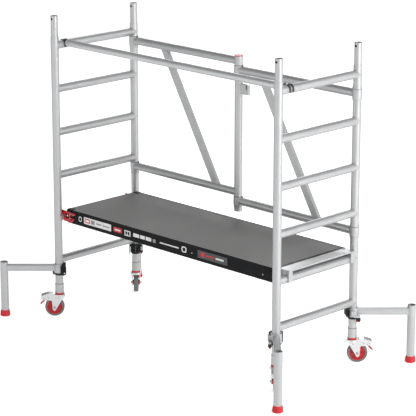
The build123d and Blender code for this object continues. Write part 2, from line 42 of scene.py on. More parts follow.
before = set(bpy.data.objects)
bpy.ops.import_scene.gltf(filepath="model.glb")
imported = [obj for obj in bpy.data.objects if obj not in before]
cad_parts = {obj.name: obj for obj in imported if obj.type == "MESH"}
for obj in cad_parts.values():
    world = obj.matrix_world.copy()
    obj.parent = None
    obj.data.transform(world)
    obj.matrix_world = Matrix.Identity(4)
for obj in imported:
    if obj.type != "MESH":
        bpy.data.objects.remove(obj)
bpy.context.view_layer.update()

# ---- Sizes and places of the frame ------------------------------------------
TUBE_RADIUS = 0.0254
RUNG_RADIUS = 0.0252
BRACE_RADIUS = 0.025
SLEEVE_RADIUS = 0.030
RAIL_RADIUS = 0.022
CLAMP_RADIUS = 0.033
ARM_HALF = 0.020
ARM_CORNER = 0.004
ARM_HEIGHT = 0.325
RUNG_PITCH = 0.280
FIRST_RUNG = 0.381
RUNG_COUNT = 6

_left_low, _left_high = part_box("left_end_frame")
_right_low, _right_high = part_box("right_end_frame")
LEFT_X = (_left_low.x + _left_high.x) / 2
RIGHT_X = (_right_low.x + _right_high.x) / 2
FRONT_Y = _left_low.y + TUBE_RADIUS
REAR_Y = _left_high.y - TUBE_RADIUS
_cap_low, _cap_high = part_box("post_caps")
POST_X = (_cap_low.x + _cap_high.x) / 2
_deck_low, _deck_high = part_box("deck_board")
_rail_low, _rail_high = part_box("guardrail_tube")
BEAM_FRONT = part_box("side_beam_front")[0].y
CLAW_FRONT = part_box("left_claws")[0].y
DECK_TOP = _deck_high.z

# The brace's tube heights, and where its diagonals start and how they run.
LEFT_TUBES = (1.722, 0.8815)
RIGHT_TUBES = (1.666, 0.827)
LEFT_DIAGONAL = LEFT_X + 0.284
RIGHT_DIAGONAL = POST_X + 0.190
DIAGONAL_RUN = 0.485
DIAGONAL_HALF = 0.0225
DIAGONAL_HALF_DEPTH = 0.0125
SLEEVE_ABOVE = 0.027
SPIGOT_FACE = 0.0210

# At a corner: the castor, the outrigger's leg, clamp block and knob, and the stem.
WHEEL_RADIUS = 0.0625
TRAIL = 0.032
FORK_HALF = 0.028
LEG_REACH = 0.355
PEDAL_X, PEDAL_Z = 0.092, 0.121
BLOCK_FACE = -0.0195
CLAMP_SCREW = (-0.0235, 0.3445)
KNOB_X, KNOB_Y, KNOB_Z = 0.032, -0.037, 0.2829
KNOB_HALF = 0.009
KNOB_SEAM = 0.2745
STEM_TOP = 0.218

# Ring sections as (out, up) from the ring's seat; SWIVEL_RACE is (radius, height).
GASKET = ((-0.0002, 0.0), (0.0016, 0.0), (0.0020, 0.0008), (0.0012, 0.0018), (-0.0002, 0.0020))
HINGE_RING = ((-0.0002, 0.0), (0.0024, 0.0), (0.0028, 0.0010), (0.0016, 0.0022), (-0.0002, 0.0024))
TYRE_LINE = ((0.0, -0.0006), (0.0010, -0.0003), (0.0012, 0.0), (0.0010, 0.0003), (0.0, 0.0006))
FOOT_RING = (
    (-0.001, -0.0018),
    (0.0007, -0.0010),
    (0.0009, 0.0),
    (0.0006, 0.0010),
    (-0.001, 0.0018),
)
SWIVEL_RACE = (
    (0.0350, 0.1365),
    (0.0372, 0.1372),
    (0.0380, 0.1390),
    (0.0372, 0.1410),
    (0.0350, 0.1418),
)

# On a castor: housing rivets as (x, z, stand-off), housing slots as (x, z); the slots are grey
# plates of painted shade.
HOUSING_RIVETS = ((0.071, 0.128, 0.002), (0.104, 0.126, 0.0), (0.004, 0.122, 0.0))
HOUSING_SLOTS_PAINTED_SHADE = ((0.0935, 0.1478), (0.1090, 0.1426))
SLOT_SIDE = 0.011
HOUSING_UP = Vector((0.011, 0, 0.033)).normalized()
AXLE_STAND_OFF = 0.0035
HUB_RECESS = (0.0270, 0.0440)
HUB_FACE = 0.0100
TYRE_LINE_RADII = (0.0508, 0.0552)
TYRE_FACE = 0.01445
PEDAL_TREAD = ((0.006, -0.013), (0.034, -0.040))
PEDAL_UP = Vector((0.027, 0, 0.028)).normalized()
PEDAL_SHARES = (0.30, 0.45, 0.60, 0.75, 0.90)
FOOT_BASE = (0.033, 0.006)
FOOT_TOP = (0.0284, 0.038)
FOOT_SHARES = (0.28, 0.50, 0.72)

ALONG_X = Vector((1, 0, 0))
ALONG_Y = Vector((0, 1, 0))
ALONG_Z = Vector((0, 0, 1))
FORWARD = Vector((0, -1, 0))
WHITE = (1, 1, 1, 1)

CORNERS = {
    "front_left": (LEFT_X, FRONT_Y, 225),
    "front_right": (RIGHT_X, FRONT_Y, 315),
    "rear_left": (LEFT_X, REAR_Y, 135),
    "rear_right": (RIGHT_X, REAR_Y, 45),
}


class TowerSizes(PropertyGroup):
    """Sizes of the details added to the frame."""

    bead_radius: FloatProperty(
        name="Weld Bead Radius",
        description="Half the thickness of a weld bead",
        default=0.0021,
        min=0.0005,
        subtype="DISTANCE",
        unit="LENGTH",
    )
    ripple_pitch: FloatProperty(
        name="Weld Ripple Pitch",
        description="Distance between the ripples of a weld bead",
        default=0.0032,
        min=0.001,
        subtype="DISTANCE",
        unit="LENGTH",
    )
    ripple_depth: FloatProperty(
        name="Weld Ripple Depth",
        description="How far a ripple swells the bead, as a share of its radius",
        default=0.16,
        min=0.0,
        max=0.5,
        subtype="FACTOR",
    )
    nut_radius: FloatProperty(
        name="Axle Nut Radius",
        description="Corner radius of the hexagon nuts on the castor axles",
        default=0.0072,
        min=0.002,
        subtype="DISTANCE",
        unit="LENGTH",
    )
    nut_height: FloatProperty(
        name="Axle Nut Height",
        description="Height of the hexagon nuts on the castor axles",
        default=0.0042,
        min=0.001,
        subtype="DISTANCE",
        unit="LENGTH",
    )
    rivet_radius: FloatProperty(
        name="Rivet Radius",
        description="Radius of the domed rivet heads",
        default=0.0045,
        min=0.001,
        subtype="DISTANCE",
        unit="LENGTH",
    )
    button_radius: FloatProperty(
        name="Button Cap Radius",
        description="Radius of the dark caps on the spring buttons",
        default=0.0085,
        min=0.001,
        subtype="DISTANCE",
        unit="LENGTH",
    )
    pin_radius: FloatProperty(
        name="Sleeve Pin Radius",
        description="Radius of the dark locking pins beside the hinge sleeves",
        default=0.0052,
        min=0.001,
        subtype="DISTANCE",
        unit="LENGTH",
    )
    label_thickness: FloatProperty(
        name="Label Thickness",
        description="Thickness of the plain panels stuck to the side beams",
        default=0.0006,
        min=0.0001,
        subtype="DISTANCE",
        unit="LENGTH",
    )
    hub_ribs: IntProperty(
        name="Hub Ribs",
        description="Number of moulded ribs on each side of a wheel hub",
        default=6,
        min=3,
        max=12,
    )


def colour_property(name, description, default):
    """An RGB colour shown in the panel."""
    return FloatVectorProperty(
        name=name, description=description, default=default, subtype="COLOR", size=3, min=0, max=1
    )


class TowerFinishes(PropertyGroup):
    """Colours of the tower's materials."""

    aluminium: colour_property("Aluminium", "Satin extruded tube", (0.475, 0.48, 0.485))
    zinc: colour_property("Zinc", "Bright plated castor housings", (0.72, 0.73, 0.74))
    red: colour_property("Red", "Moulded red plastic and rubber", (0.50, 0.009, 0.015))
    hub_red: colour_property("Hub Red", "Deeper red of the wheel hubs", (0.44, 0.004, 0.009))
    black: colour_property("Black", "Moulded black plastic", (0.0055, 0.0058, 0.0065))
    tyre: colour_property("Tyre", "Grey non-marking rubber", (0.13, 0.155, 0.155))
    collar: colour_property("Collar", "Grey moulded support collars", (0.022, 0.023, 0.025))
    deck: colour_property("Deck", "Slip-resistant board face", (0.215, 0.212, 0.210))
    beam: colour_property("Beam", "Black coated side beams", (0.0050, 0.0053, 0.0062))
    label: colour_property("Label", "Plain pale panels on the beams", (0.70, 0.70, 0.69))


# ---- Shader building --------------------------------------------------------
LINE_STRETCH = 0.012
FINE_GRAIN = 2200.0
MOULD_GRAIN = 1400.0
GREY = (0.055, 0.058, 0.062)
# Grey of the grey labels, also used for the painted shade of the castor housings' slots.
GREY_LABEL_AND_SLOT_SHADE = (0.25, 0.25, 0.26)


def shader_group(name, inputs, outputs):
    """An empty shader node group with float or vector inputs and float outputs."""
    tree = bpy.data.node_groups.new(name, "ShaderNodeTree")
    for label, kind, default in inputs:
        socket = tree.interface.new_socket(name=label, in_out="INPUT", socket_type=kind)
        if default is not None:
            socket.default_value = default
    for label in outputs:
        tree.interface.new_socket(name=label, in_out="OUTPUT", socket_type="NodeSocketFloat")
    return tree, tree.nodes.new("NodeGroupInput"), tree.nodes.new("NodeGroupOutput")


def noise(tree, vector, scale, detail=2.0, roughness=0.5):
    """A noise texture's factor; scale may be a number or a socket."""
    node = tree.nodes.new("ShaderNodeTexNoise")
    node.inputs["Detail"].default_value = detail
    node.inputs["Roughness"].default_value = roughness
    if isinstance(scale, (int, float)):
        node.inputs["Scale"].default_value = scale
    else:
        tree.links.new(scale, node.inputs["Scale"])
    tree.links.new(vector, node.inputs["Vector"])
    return node.outputs[0]


def arithmetic(tree, operation, first, second=0.0):
    """A math node on sockets or numbers."""
    node = tree.nodes.new("ShaderNodeMath")
    node.operation = operation
    for socket, value in zip(node.inputs, (first, second)):
        if isinstance(value, (int, float)):
            socket.default_value = value
        else:
            tree.links.new(value, socket)
    return node.outputs[0]


def ranged(tree, value, low, high, new_low, new_high):
    """A map range node from low…high to new_low…new_high."""
    node = tree.nodes.new("ShaderNodeMapRange")
    tree.links.new(value, node.inputs["Value"])
    node.inputs["From Min"].default_value = low
    node.inputs["From Max"].default_value = high
    node.inputs["To Min"].default_value = new_low
    node.inputs["To Max"].default_value = new_high
    return node.outputs["Result"]


def scaled(tree, vector, scale, turn=0.0):
    """The vector turned about Z, then scaled by three numbers."""
    turned = vector
    if turn:
        first = tree.nodes.new("ShaderNodeMapping")
        first.inputs["Rotation"].default_value = (0, 0, turn)
        tree.links.new(vector, first.inputs["Vector"])
        turned = first.outputs["Vector"]
    node = tree.nodes.new("ShaderNodeMapping")
    node.inputs["Scale"].default_value = scale
    tree.links.new(turned, node.inputs["Vector"])
    return node.outputs["Vector"]


def drawn_lines_group():
    """Fine lines left by extrusion, on a vector squeezed along the tube."""
    tree, start, end = shader_group(
        "DrawnLines",
        [("Vector", "NodeSocketVector", None), ("Fineness", "NodeSocketFloat", 900.0)],
        ["Height", "Tone"],
    )
    fine = noise(tree, start.outputs["Vector"], start.outputs["Fineness"], 3.0, 0.6)
    broad = noise(tree, start.outputs["Vector"], 140.0, 2.0)
    tree.links.new(fine, end.inputs["Height"])
    tree.links.new(ranged(tree, broad, 0.30, 0.70, 0.0, 1.0), end.inputs["Tone"])
    return tree


def handling_group():
    """Smudges from hands and small scuffs from stacking."""
    tree, start, end = shader_group(
        "HandlingMarks", [("Vector", "NodeSocketVector", None)], ["Smudge", "Scuff"]
    )
    vector = start.outputs["Vector"]
    smudge = noise(tree, vector, 11.0, 4.0, 0.55)
    scuff = noise(tree, vector, 160.0, 5.0, 0.7)
    patch = noise(tree, vector, 6.0, 1.0)
    sharp = ranged(tree, scuff, 0.62, 0.70, 0.0, 1.0)
    tree.links.new(ranged(tree, smudge, 0.30, 0.72, 0.0, 1.0), end.inputs["Smudge"])
    shown = arithmetic(tree, "MULTIPLY", sharp, ranged(tree, patch, 0.45, 0.62, 0.0, 1.0))
    tree.links.new(shown, end.inputs["Scuff"])
    return tree


def moulded_group():
    """The fine spark-eroded grain of a moulded part."""
    tree, start, end = shader_group(
        "MouldedGrain",
        [("Vector", "NodeSocketVector", None), ("Grain", "NodeSocketFloat", 1400.0)],
        ["Height", "Tone"],
    )
    grain = noise(tree, start.outputs["Vector"], start.outputs["Grain"], 2.0)
    cloud = noise(tree, start.outputs["Vector"], 34.0, 3.0)
    tree.links.new(grain, end.inputs["Height"])
    tree.links.new(ranged(tree, cloud, 0.32, 0.68, 0.0, 1.0), end.inputs["Tone"])
    return tree


def imprint_group():
    """The wire-mesh imprint and speckle of film-faced board."""
    tree, start, end = shader_group(
        "BoardImprint",
        [("Vector", "NodeSocketVector", None), ("Lines", "NodeSocketFloat", 90.0)],
        ["Height", "Speckle", "Wear"],
    )
    heights = []
    for direction in ("X", "Y"):
        wave = tree.nodes.new("ShaderNodeTexWave")
        wave.bands_direction = direction
        wave.inputs["Distortion"].default_value = 0.6
        wave.inputs["Detail"].default_value = 1.0
        tree.links.new(start.outputs["Lines"], wave.inputs["Scale"])
        tree.links.new(start.outputs["Vector"], wave.inputs["Vector"])
        heights.append(wave.outputs["Fac"])
    both = arithmetic(tree, "MULTIPLY", heights[0], heights[1])
    speckle = noise(tree, start.outputs["Vector"], 620.0, 3.0, 0.7)
    wear = noise(tree, start.outputs["Vector"], 5.0, 5.0, 0.6)
    tree.links.new(both, end.inputs["Height"])
    tree.links.new(ranged(tree, speckle, 0.35, 0.65, 0.0, 1.0), end.inputs["Speckle"])
    tree.links.new(ranged(tree, wear, 0.35, 0.68, 0.0, 1.0), end.inputs["Wear"])
    return tree


def spangle_group():
    """The faint crystals of a zinc plated pressing."""
    tree, start, end = shader_group(
        "PlatedSpangle", [("Vector", "NodeSocketVector", None)], ["Tone", "Height"]
    )
    cells = tree.nodes.new("ShaderNodeTexVoronoi")
    cells.inputs["Scale"].default_value = 260.0
    tree.links.new(start.outputs["Vector"], cells.inputs["Vector"])
    separate = tree.nodes.new("ShaderNodeSeparateColor")
    tree.links.new(cells.outputs["Color"], separate.inputs["Color"])
    tree.links.new(separate.outputs[0], end.inputs["Tone"])
    tree.links.new(noise(tree, start.outputs["Vector"], 500.0, 3.0), end.inputs["Height"])
    return tree


def bead_scale_group():
    """The uneven skin of a weld bead."""
    tree, start, end = shader_group(
        "BeadSkin", [("Vector", "NodeSocketVector", None)], ["Tone", "Height"]
    )
    tree.links.new(
        ranged(tree, noise(tree, start.outputs["Vector"], 240.0, 4.0), 0.3, 0.7, 0.0, 1.0),
        end.inputs["Tone"],
    )
    tree.links.new(noise(tree, start.outputs["Vector"], 900.0, 3.0), end.inputs["Height"])
    return tree


class Finish:
    """One material under construction: its tree, shader and coordinates."""

    def __init__(self, name):
        self.material = bpy.data.materials.new(name)
        self.material.use_nodes = True
        self.tree = self.material.node_tree
        self.tree.nodes.clear()
        output = self.tree.nodes.new("ShaderNodeOutputMaterial")
        self.shader = self.tree.nodes.new("ShaderNodeBsdfPrincipled")
        self.tree.links.new(self.shader.outputs["BSDF"], output.inputs["Surface"])
        self.place = self.tree.nodes.new("ShaderNodeTexCoord").outputs["Object"]

    def group(self, source, vector=None, **values):
        """A shader group on the given coordinates, with its inputs set."""
        node = self.tree.nodes.new("ShaderNodeGroup")
        node.node_tree = source
        self.tree.links.new(vector or self.place, node.inputs["Vector"])
        for label, value in values.items():
            node.inputs[label].default_value = value
        return node

    def uniform(self, **values):
        """Even values set on the shader's own sockets."""
        for label, value in values.items():
            self.shader.inputs[label.replace("_", " ")].default_value = value

    def blend(self, mask, under, over):
        """Base colour going from under to over as the mask goes from 0 to 1."""
        mix = self.tree.nodes.new("ShaderNodeMix")
        mix.data_type = "RGBA"
        self.tree.links.new(mask, mix.inputs[0])
        sockets = [s for s in mix.inputs if s.type == "RGBA"]
        for socket, value in zip(sockets, (under, over)):
            if isinstance(value, tuple):
                socket.default_value = (*value, 1)
            else:
                self.tree.links.new(value, socket)
        result = [s for s in mix.outputs if s.type == "RGBA"][0]
        self.tree.links.new(result, self.shader.inputs["Base Color"])
        return result

    def roughness(self, value, low, high):
        """Roughness going from low to high as the value goes from 0 to 1."""
        result = ranged(self.tree, value, 0.0, 1.0, low, high)
        self.tree.links.new(result, self.shader.inputs["Roughness"])

    def bump(self, height, strength, distance):
        """Relief from a height value."""
        node = self.tree.nodes.new("ShaderNodeBump")
        node.inputs["Strength"].default_value = strength
        node.inputs["Distance"].default_value = distance
        self.tree.links.new(height, node.inputs["Height"])
        self.tree.links.new(node.outputs["Normal"], self.shader.inputs["Normal"])


def shade(colour, factor):
    """A colour made lighter or darker."""
    return tuple(min(1.0, channel * factor) for channel in colour)


def frame_run(finish):
    """Lines along Z on the uprights and along Y on the rungs between them."""
    tree = finish.tree
    upright = scaled(tree, finish.place, (1.0, 1.0, LINE_STRETCH))
    rung = scaled(tree, finish.place, (1.0, LINE_STRETCH, 1.0))
    parts = tree.nodes.new("ShaderNodeSeparateXYZ")
    tree.links.new(finish.place, parts.inputs[0])
    across = arithmetic(tree, "ABSOLUTE", parts.outputs["Y"])
    is_upright = arithmetic(tree, "GREATER_THAN", across, REAR_Y - TUBE_RADIUS)
    mix = tree.nodes.new("ShaderNodeMix")
    mix.data_type = "VECTOR"
    vectors = [s for s in mix.inputs if s.type == "VECTOR"]
    tree.links.new(is_upright, mix.inputs[0])
    tree.links.new(rung, vectors[-2])
    tree.links.new(upright, vectors[-1])
    return [s for s in mix.outputs if s.type == "VECTOR"][0]


def beyond(finish, corner, reach):
    """1 behind a plane across a corner's outrigger, at reach along it, and 0 before it."""
    x, y, heading = CORNERS[corner]
    along = (math.cos(math.radians(heading)), math.sin(math.radians(heading)))
    parts = finish.tree.nodes.new("ShaderNodeSeparateXYZ")
    finish.tree.links.new(finish.place, parts.inputs[0])
    east = arithmetic(finish.tree, "MULTIPLY", parts.outputs["X"], along[0])
    north = arithmetic(finish.tree, "MULTIPLY", parts.outputs["Y"], along[1])
    distance = arithmetic(finish.tree, "ADD", east, north)
    limit = x * along[0] + y * along[1] + reach
    return arithmetic(finish.tree, "LESS_THAN", distance, limit)


def clamp_finish(name, groups, colour, black, corner):
    """A cast aluminium clamp whose bolt block is moulded in black."""
    finish = Finish(name)
    skin = finish.group(groups["moulded"], Grain=1100.0)
    marks = finish.group(groups["marks"])
    metal = finish.blend(skin.outputs["Tone"], shade(colour, 0.92), shade(colour, 1.05))
    block = beyond(finish, corner, BLOCK_FACE)
    finish.blend(block, metal, black)
    bare = arithmetic(finish.tree, "SUBTRACT", 1.0, block)
    metallic = arithmetic(finish.tree, "MULTIPLY", bare, 0.70)
    finish.tree.links.new(metallic, finish.shader.inputs["Metallic"])
    finish.roughness(marks.outputs["Smudge"], 0.42, 0.54)
    finish.bump(skin.outputs["Height"], 0.2, 0.0003)
    finish.uniform(Specular_IOR_Level=0.2)
    return finish.material


def knob_finish(name, groups, black, red):
    """A black moulded knob with a red lower part."""
    finish = Finish(name)
    skin = finish.group(groups["moulded"], Grain=1400.0)
    marks = finish.group(groups["marks"])
    dark = finish.blend(skin.outputs["Tone"], shade(black, 0.88), shade(black, 1.1))
    parts = finish.tree.nodes.new("ShaderNodeSeparateXYZ")
    finish.tree.links.new(finish.place, parts.inputs[0])
    lower = arithmetic(finish.tree, "LESS_THAN", parts.outputs["Z"], KNOB_SEAM)
    finish.blend(lower, dark, red)
    finish.roughness(marks.outputs["Smudge"], 0.38, 0.50)
    finish.bump(skin.outputs["Height"], 0.2, 0.0003)
    return finish.material


def aluminium_finish(name, groups, colour, run):
    """Satin extruded aluminium with its lines along the given run."""
    finish = Finish(name)
    squeezed = {
        "x": ((LINE_STRETCH, 1.0, 1.0), 0.0),
        "y": ((1.0, LINE_STRETCH, 1.0), 0.0),
        "z": ((1.0, 1.0, LINE_STRETCH), 0.0),
        "diagonal": ((LINE_STRETCH, 1.0, 1.0), math.radians(45)),
        "other_diagonal": ((LINE_STRETCH, 1.0, 1.0), math.radians(-45)),
    }
    if run == "frame":
        vector = frame_run(finish)
    else:
        scale, turn = squeezed[run]
        vector = scaled(finish.tree, finish.place, scale, turn)
    lines = finish.group(groups["lines"], vector)
    marks = finish.group(groups["marks"])
    drawn = arithmetic(finish.tree, "MULTIPLY", lines.outputs["Tone"], 0.65)
    handled = arithmetic(finish.tree, "MULTIPLY", marks.outputs["Smudge"], 0.35)
    tone = arithmetic(finish.tree, "ADD", drawn, handled)
    finish.blend(tone, shade(colour, 0.93), shade(colour, 1.05))
    finish.roughness(marks.outputs["Smudge"], 0.36, 0.48)
    finish.bump(lines.outputs["Height"], 0.16, 0.0004)
    finish.uniform(Metallic=0.72)
    return finish.material


def zinc_finish(name, groups, colour):
    """Bright plating with faint crystals."""
    finish = Finish(name)
    spangle = finish.group(groups["spangle"])
    marks = finish.group(groups["marks"])
    finish.blend(spangle.outputs["Tone"], shade(colour, 0.86), shade(colour, 1.06))
    finish.roughness(marks.outputs["Smudge"], 0.26, 0.42)
    finish.bump(spangle.outputs["Height"], 0.12, 0.0003)
    finish.uniform(Metallic=0.85)
    return finish.material


def moulded_finish(name, groups, colour, rough, grain=MOULD_GRAIN, coat=0.0, specular=0.5):
    """A moulded plastic or rubber with a fine grain."""
    finish = Finish(name)
    skin = finish.group(groups["moulded"], Grain=grain)
    marks = finish.group(groups["marks"])
    finish.blend(skin.outputs["Tone"], shade(colour, 0.88), shade(colour, 1.10))
    finish.roughness(marks.outputs["Smudge"], rough - 0.05, rough + 0.10)
    finish.bump(skin.outputs["Height"], 0.22, 0.0003)
    finish.uniform(Coat_Weight=coat, Coat_Roughness=0.25, Specular_IOR_Level=specular)
    return finish.material


def deck_finish(name, groups, colour):
    """Film-faced board with a wire-mesh imprint, speckle and foot wear."""
    finish = Finish(name)
    turned = scaled(finish.tree, finish.place, (1.0, 1.0, 1.0), math.radians(30))
    board = finish.group(groups["imprint"], turned)
    mixed = arithmetic(
        finish.tree,
        "ADD",
        arithmetic(finish.tree, "MULTIPLY", board.outputs["Speckle"], 0.6),
        arithmetic(finish.tree, "MULTIPLY", board.outputs["Wear"], 0.4),
    )
    finish.blend(mixed, shade(colour, 0.86), shade(colour, 1.13))
    finish.roughness(board.outputs["Wear"], 0.62, 0.78)
    finish.bump(board.outputs["Height"], 0.30, 0.0005)
    return finish.material


def beam_finish(name, groups, colour):
    """Black coated extrusion, lines along X."""
    finish = Finish(name)
    drawn = scaled(finish.tree, finish.place, (LINE_STRETCH, 1.0, 1.0))
    lines = finish.group(groups["lines"], drawn)
    marks = finish.group(groups["marks"])
    tone = arithmetic(finish.tree, "MAXIMUM", lines.outputs["Tone"], marks.outputs["Scuff"])
    finish.blend(tone, shade(colour, 0.85), shade(colour, 1.5))
    finish.roughness(marks.outputs["Smudge"], 0.46, 0.60)
    finish.bump(lines.outputs["Height"], 0.14, 0.0003)
    finish.uniform(Specular_IOR_Level=0.12)
    return finish.material


def weld_finish(name, groups, colour):
    """The paler, uneven skin of a weld."""
    finish = Finish(name)
    skin = finish.group(groups["bead"])
    finish.blend(skin.outputs["Tone"], shade(colour, 0.80), shade(colour, 1.04))
    finish.roughness(skin.outputs["Tone"], 0.40, 0.55)
    finish.bump(skin.outputs["Height"], 0.35, 0.0004)
    finish.uniform(Metallic=0.70)
    return finish.material


def make_finishes(colours):
    """Every material of the tower, by a short name."""
    groups = {
        "lines": drawn_lines_group(),
        "marks": handling_group(),
        "moulded": moulded_group(),
        "imprint": imprint_group(),
        "spangle": spangle_group(),
        "bead": bead_scale_group(),
    }
    silver = tuple(colours.aluminium)
    finishes = {
        run: aluminium_finish(f"aluminium_{run}", groups, silver, run)
        for run in ("frame", "x", "y", "z", "diagonal", "other_diagonal")
    }
    red = tuple(colours.red)
    black = tuple(colours.black)
    zinc = tuple(colours.zinc)
    finishes["zinc"] = zinc_finish("zinc", groups, zinc)
    # The rail's aluminium is the frame's colour made 1.22 times lighter: a painted highlight along
    # the guardrail.
    finishes["rail"] = aluminium_finish("rail_aluminium_painted_highlight", groups, shade(silver, 1.22), "x")
    finishes["steel"] = zinc_finish("steel", groups, shade(silver, 0.95))
    finishes["dark_steel"] = zinc_finish("dark_steel", groups, shade(silver, 0.22))
    finishes["weld"] = weld_finish("weld", groups, shade(silver, 1.02))
    for label, name, colour, values in (
        ("red", "red_moulded", red, {"rough": 0.34, "coat": 0.15}),
        ("red_rubber", "red_rubber", red, {"rough": 0.50, "grain": 900.0}),
        # The black moulded plastic also serves as the painted shade of the deck's nose slots and
        # the claw's pockets.
        ("black", "black_moulded_and_slot_shade", black, {"rough": 0.45, "specular": 0.2}),
        ("grey", "grey_moulded", GREY, {"rough": 0.46}),
        ("collar", "collar_moulded", colours.collar, {"rough": 0.50, "specular": 0.2}),
        ("hub", "hub_moulded", colours.hub_red, {"rough": 0.34, "coat": 0.15}),
        ("tyre", "tyre_rubber", colours.tyre, {"rough": 0.60, "grain": 700.0}),
        ("label", "label_pale", colours.label, {"rough": 0.34, "grain": FINE_GRAIN, "coat": 0.1}),
        ("grey_label_and_slot_shade", "grey_label_and_slot_shade", GREY_LABEL_AND_SLOT_SHADE, {"rough": 0.36, "grain": FINE_GRAIN}),
        (
            "label_red",
            "label_red",
            shade(red, 0.95),
            {"rough": 0.34, "grain": FINE_GRAIN, "coat": 0.1},
        ),
    ):
        finishes[label] = moulded_finish(name, groups, tuple(colour), **values)
    finishes["knob"] = knob_finish("knob_moulded", groups, black, red)
    for corner in CORNERS:
        name = f"clamp_{corner}"
        finishes[name] = clamp_finish(name, groups, silver, black, corner)
    finishes["deck"] = deck_finish("deck_board", groups, tuple(colours.deck))
    finishes["beam"] = beam_finish("beam_coating", groups, tuple(colours.beam))
    return finishes


NODE_FINISH = {
    "left_end_frame": "frame",
    "right_end_frame": "frame",
    "frame_spigots": "z",
    "spigot_buttons": "black",
    "stem_sleeves": "z",
    "seal_rings": "red",
    "support_collars": "collar",
    "hinge_collars": "z",
    "rear_left_panel": "x",
    "rear_right_panel": "x",
    "centre_post": "z",
    "post_caps": "red",
    "deck_board": "deck",
    "side_beam_front": "beam",
    "side_beam_rear": "beam",
    "left_end_trim": "black",
    "right_end_profile": "y",
    "left_claws": "red",
    "right_claws": "y",
    "platform_rivets": "steel",
    "guardrail_tube": "rail",
    "guardrail_hooks": "dark_steel",
}
CORNER_FINISH = {
    "castor_fork": "zinc",
    "castor_hub": "hub",
    "castor_tyre": "tyre",
    "castor_pedal": "red",
    "outrigger_foot": "red_rubber",
    "outrigger_handle": "black",
    "outrigger_knob": "knob",
}
made = {}


def finish_named(name):
    """A material made by the finishes operator."""
    if name not in made:
        raise RuntimeError(f"the finish {name} isn't made yet; run the finishes operator first")
    return made[name]


# ---- Mesh building ----------------------------------------------------------


def keep_piece(mesh, name, body, material=None):
    """A finished mesh becomes a piece that rides on a body."""
    if material is not None:
        mesh.materials.clear()
        mesh.materials.append(material)
    piece = bpy.data.objects.new(name, mesh)
    bpy.context.scene.collection.objects.link(piece)
    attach(piece, body)
    return piece


def mesh_from(bm, name, smooth=False):
    """Merges doubles, turns the faces outward and hands back a mesh."""
    bmesh.ops.remove_doubles(bm, verts=bm.verts, dist=1e-6)
    bmesh.ops.dissolve_degenerate(bm, edges=bm.edges, dist=1e-7)
    bmesh.ops.recalc_face_normals(bm, faces=bm.faces)
    mesh = bpy.data.meshes.new(name)
    bm.to_mesh(mesh)
    bm.free()
    if smooth:
        mesh.shade_smooth()
        mesh.set_sharp_from_angle(angle=math.radians(35))
    return mesh


def add_lathe(bm, profile, place, segments=32):
    """Turns a closed (radius, height) outline about the local Z axis."""
    rings = []
    for step in range(segments):
        angle = 2 * math.pi * step / segments
        ring = [
            bm.verts.new(place @ Vector((r * math.cos(angle), r * math.sin(angle), z)))
            for r, z in profile
        ]
        rings.append(ring)
    count = len(profile)
    for step in range(segments):
        here, there = rings[step], rings[(step + 1) % segments]
        for i in range(count):
            j = (i + 1) % count
            bm.faces.new((here[i], there[i], there[j], here[j]))


def rounded_outline(width, height, radius, steps=5):
    """Points round a rectangle with rounded corners, centred on the origin."""
    points = []
    for cx, cy, start in ((1, 1, 0), (-1, 1, 90), (-1, -1, 180), (1, -1, 270)):
        for step in range(steps + 1):
            angle = math.radians(start + 90 * step / steps)
            points.append(
                (
                    cx * (width / 2 - radius) + radius * math.cos(angle),
                    cy * (height / 2 - radius) + radius * math.sin(angle),
                )
            )
    return points


def add_plate(bm, outline, place, thickness, edge=0.2):
    """A plate from local z 0 to its thickness, its top edge drawn in a little."""
    inset = thickness * edge
    middle = Vector((sum(p[0] for p in outline), sum(p[1] for p in outline), 0)) / len(outline)
    loops = []
    for height, pull in ((0.0, 0.0), (thickness - inset, 0.0), (thickness, inset)):
        loop = []
        for x, y in outline:
            away = Vector((x, y, 0)) - middle
            drawn = away * (1 - pull / max(away.length, 1e-6))
            loop.append(bm.verts.new(place @ (middle + drawn + Vector((0, 0, height)))))
        loops.append(loop)
    count = len(outline)
    for lower, upper in zip(loops, loops[1:]):
        for i in range(count):
            j = (i + 1) % count
            bm.faces.new((lower[i], lower[j], upper[j], upper[i]))
    bm.faces.new(list(reversed(loops[0])))
    bm.faces.new(loops[-1])


def at_corner(corner):
    """Local frame of a corner: X outward along the outrigger, origin on the floor."""
    x, y, heading = CORNERS[corner]
    return Matrix.Translation((x, y, 0)) @ Matrix.Rotation(math.radians(heading), 4, "Z")


def upon(point, along, outward):
    """A frame at a point with its X axis along one direction and its Z axis outward."""
    turn = Matrix((along, outward.cross(along), outward)).transposed().to_4x4()
    return Matrix.Translation(point) @ turn


def raised(section, radius, height):
    """A ring section moved to its seat's radius and height."""
    return [(radius + out, height + up) for out, up in section]


def facing(point, outward, spin=0.0):
    """A frame at a point with its Z axis along outward."""
    turn = Vector(outward).to_track_quat("Z", "Y").to_matrix().to_4x4()
    return Matrix.Translation(point) @ turn @ Matrix.Rotation(spin, 4, "Z")


# ---- Geometry Nodes ---------------------------------------------------------


def geometry_tree(name, inputs):
    """A modifier tree with a geometry in and out and named inputs."""
    tree = bpy.data.node_groups.new(name, "GeometryNodeTree")
    tree.interface.new_socket(name="Geometry", in_out="INPUT", socket_type="NodeSocketGeometry")
    for label, kind in inputs:
        tree.interface.new_socket(name=label, in_out="INPUT", socket_type=kind)
    tree.interface.new_socket(name="Geometry", in_out="OUTPUT", socket_type="NodeSocketGeometry")
    return tree, tree.nodes.new("NodeGroupInput"), tree.nodes.new("NodeGroupOutput")


def end_tree(tree, start, end, geometry):
    """Realize Instances and Set Material close every tree."""
    realize = tree.nodes.new("GeometryNodeRealizeInstances")
    paint = tree.nodes.new("GeometryNodeSetMaterial")
    tree.links.new(geometry, realize.inputs["Geometry"])
    tree.links.new(realize.outputs["Geometry"], paint.inputs["Geometry"])
    tree.links.new(start.outputs["Material"], paint.inputs["Material"])
    tree.links.new(paint.outputs["Geometry"], end.inputs["Geometry"])


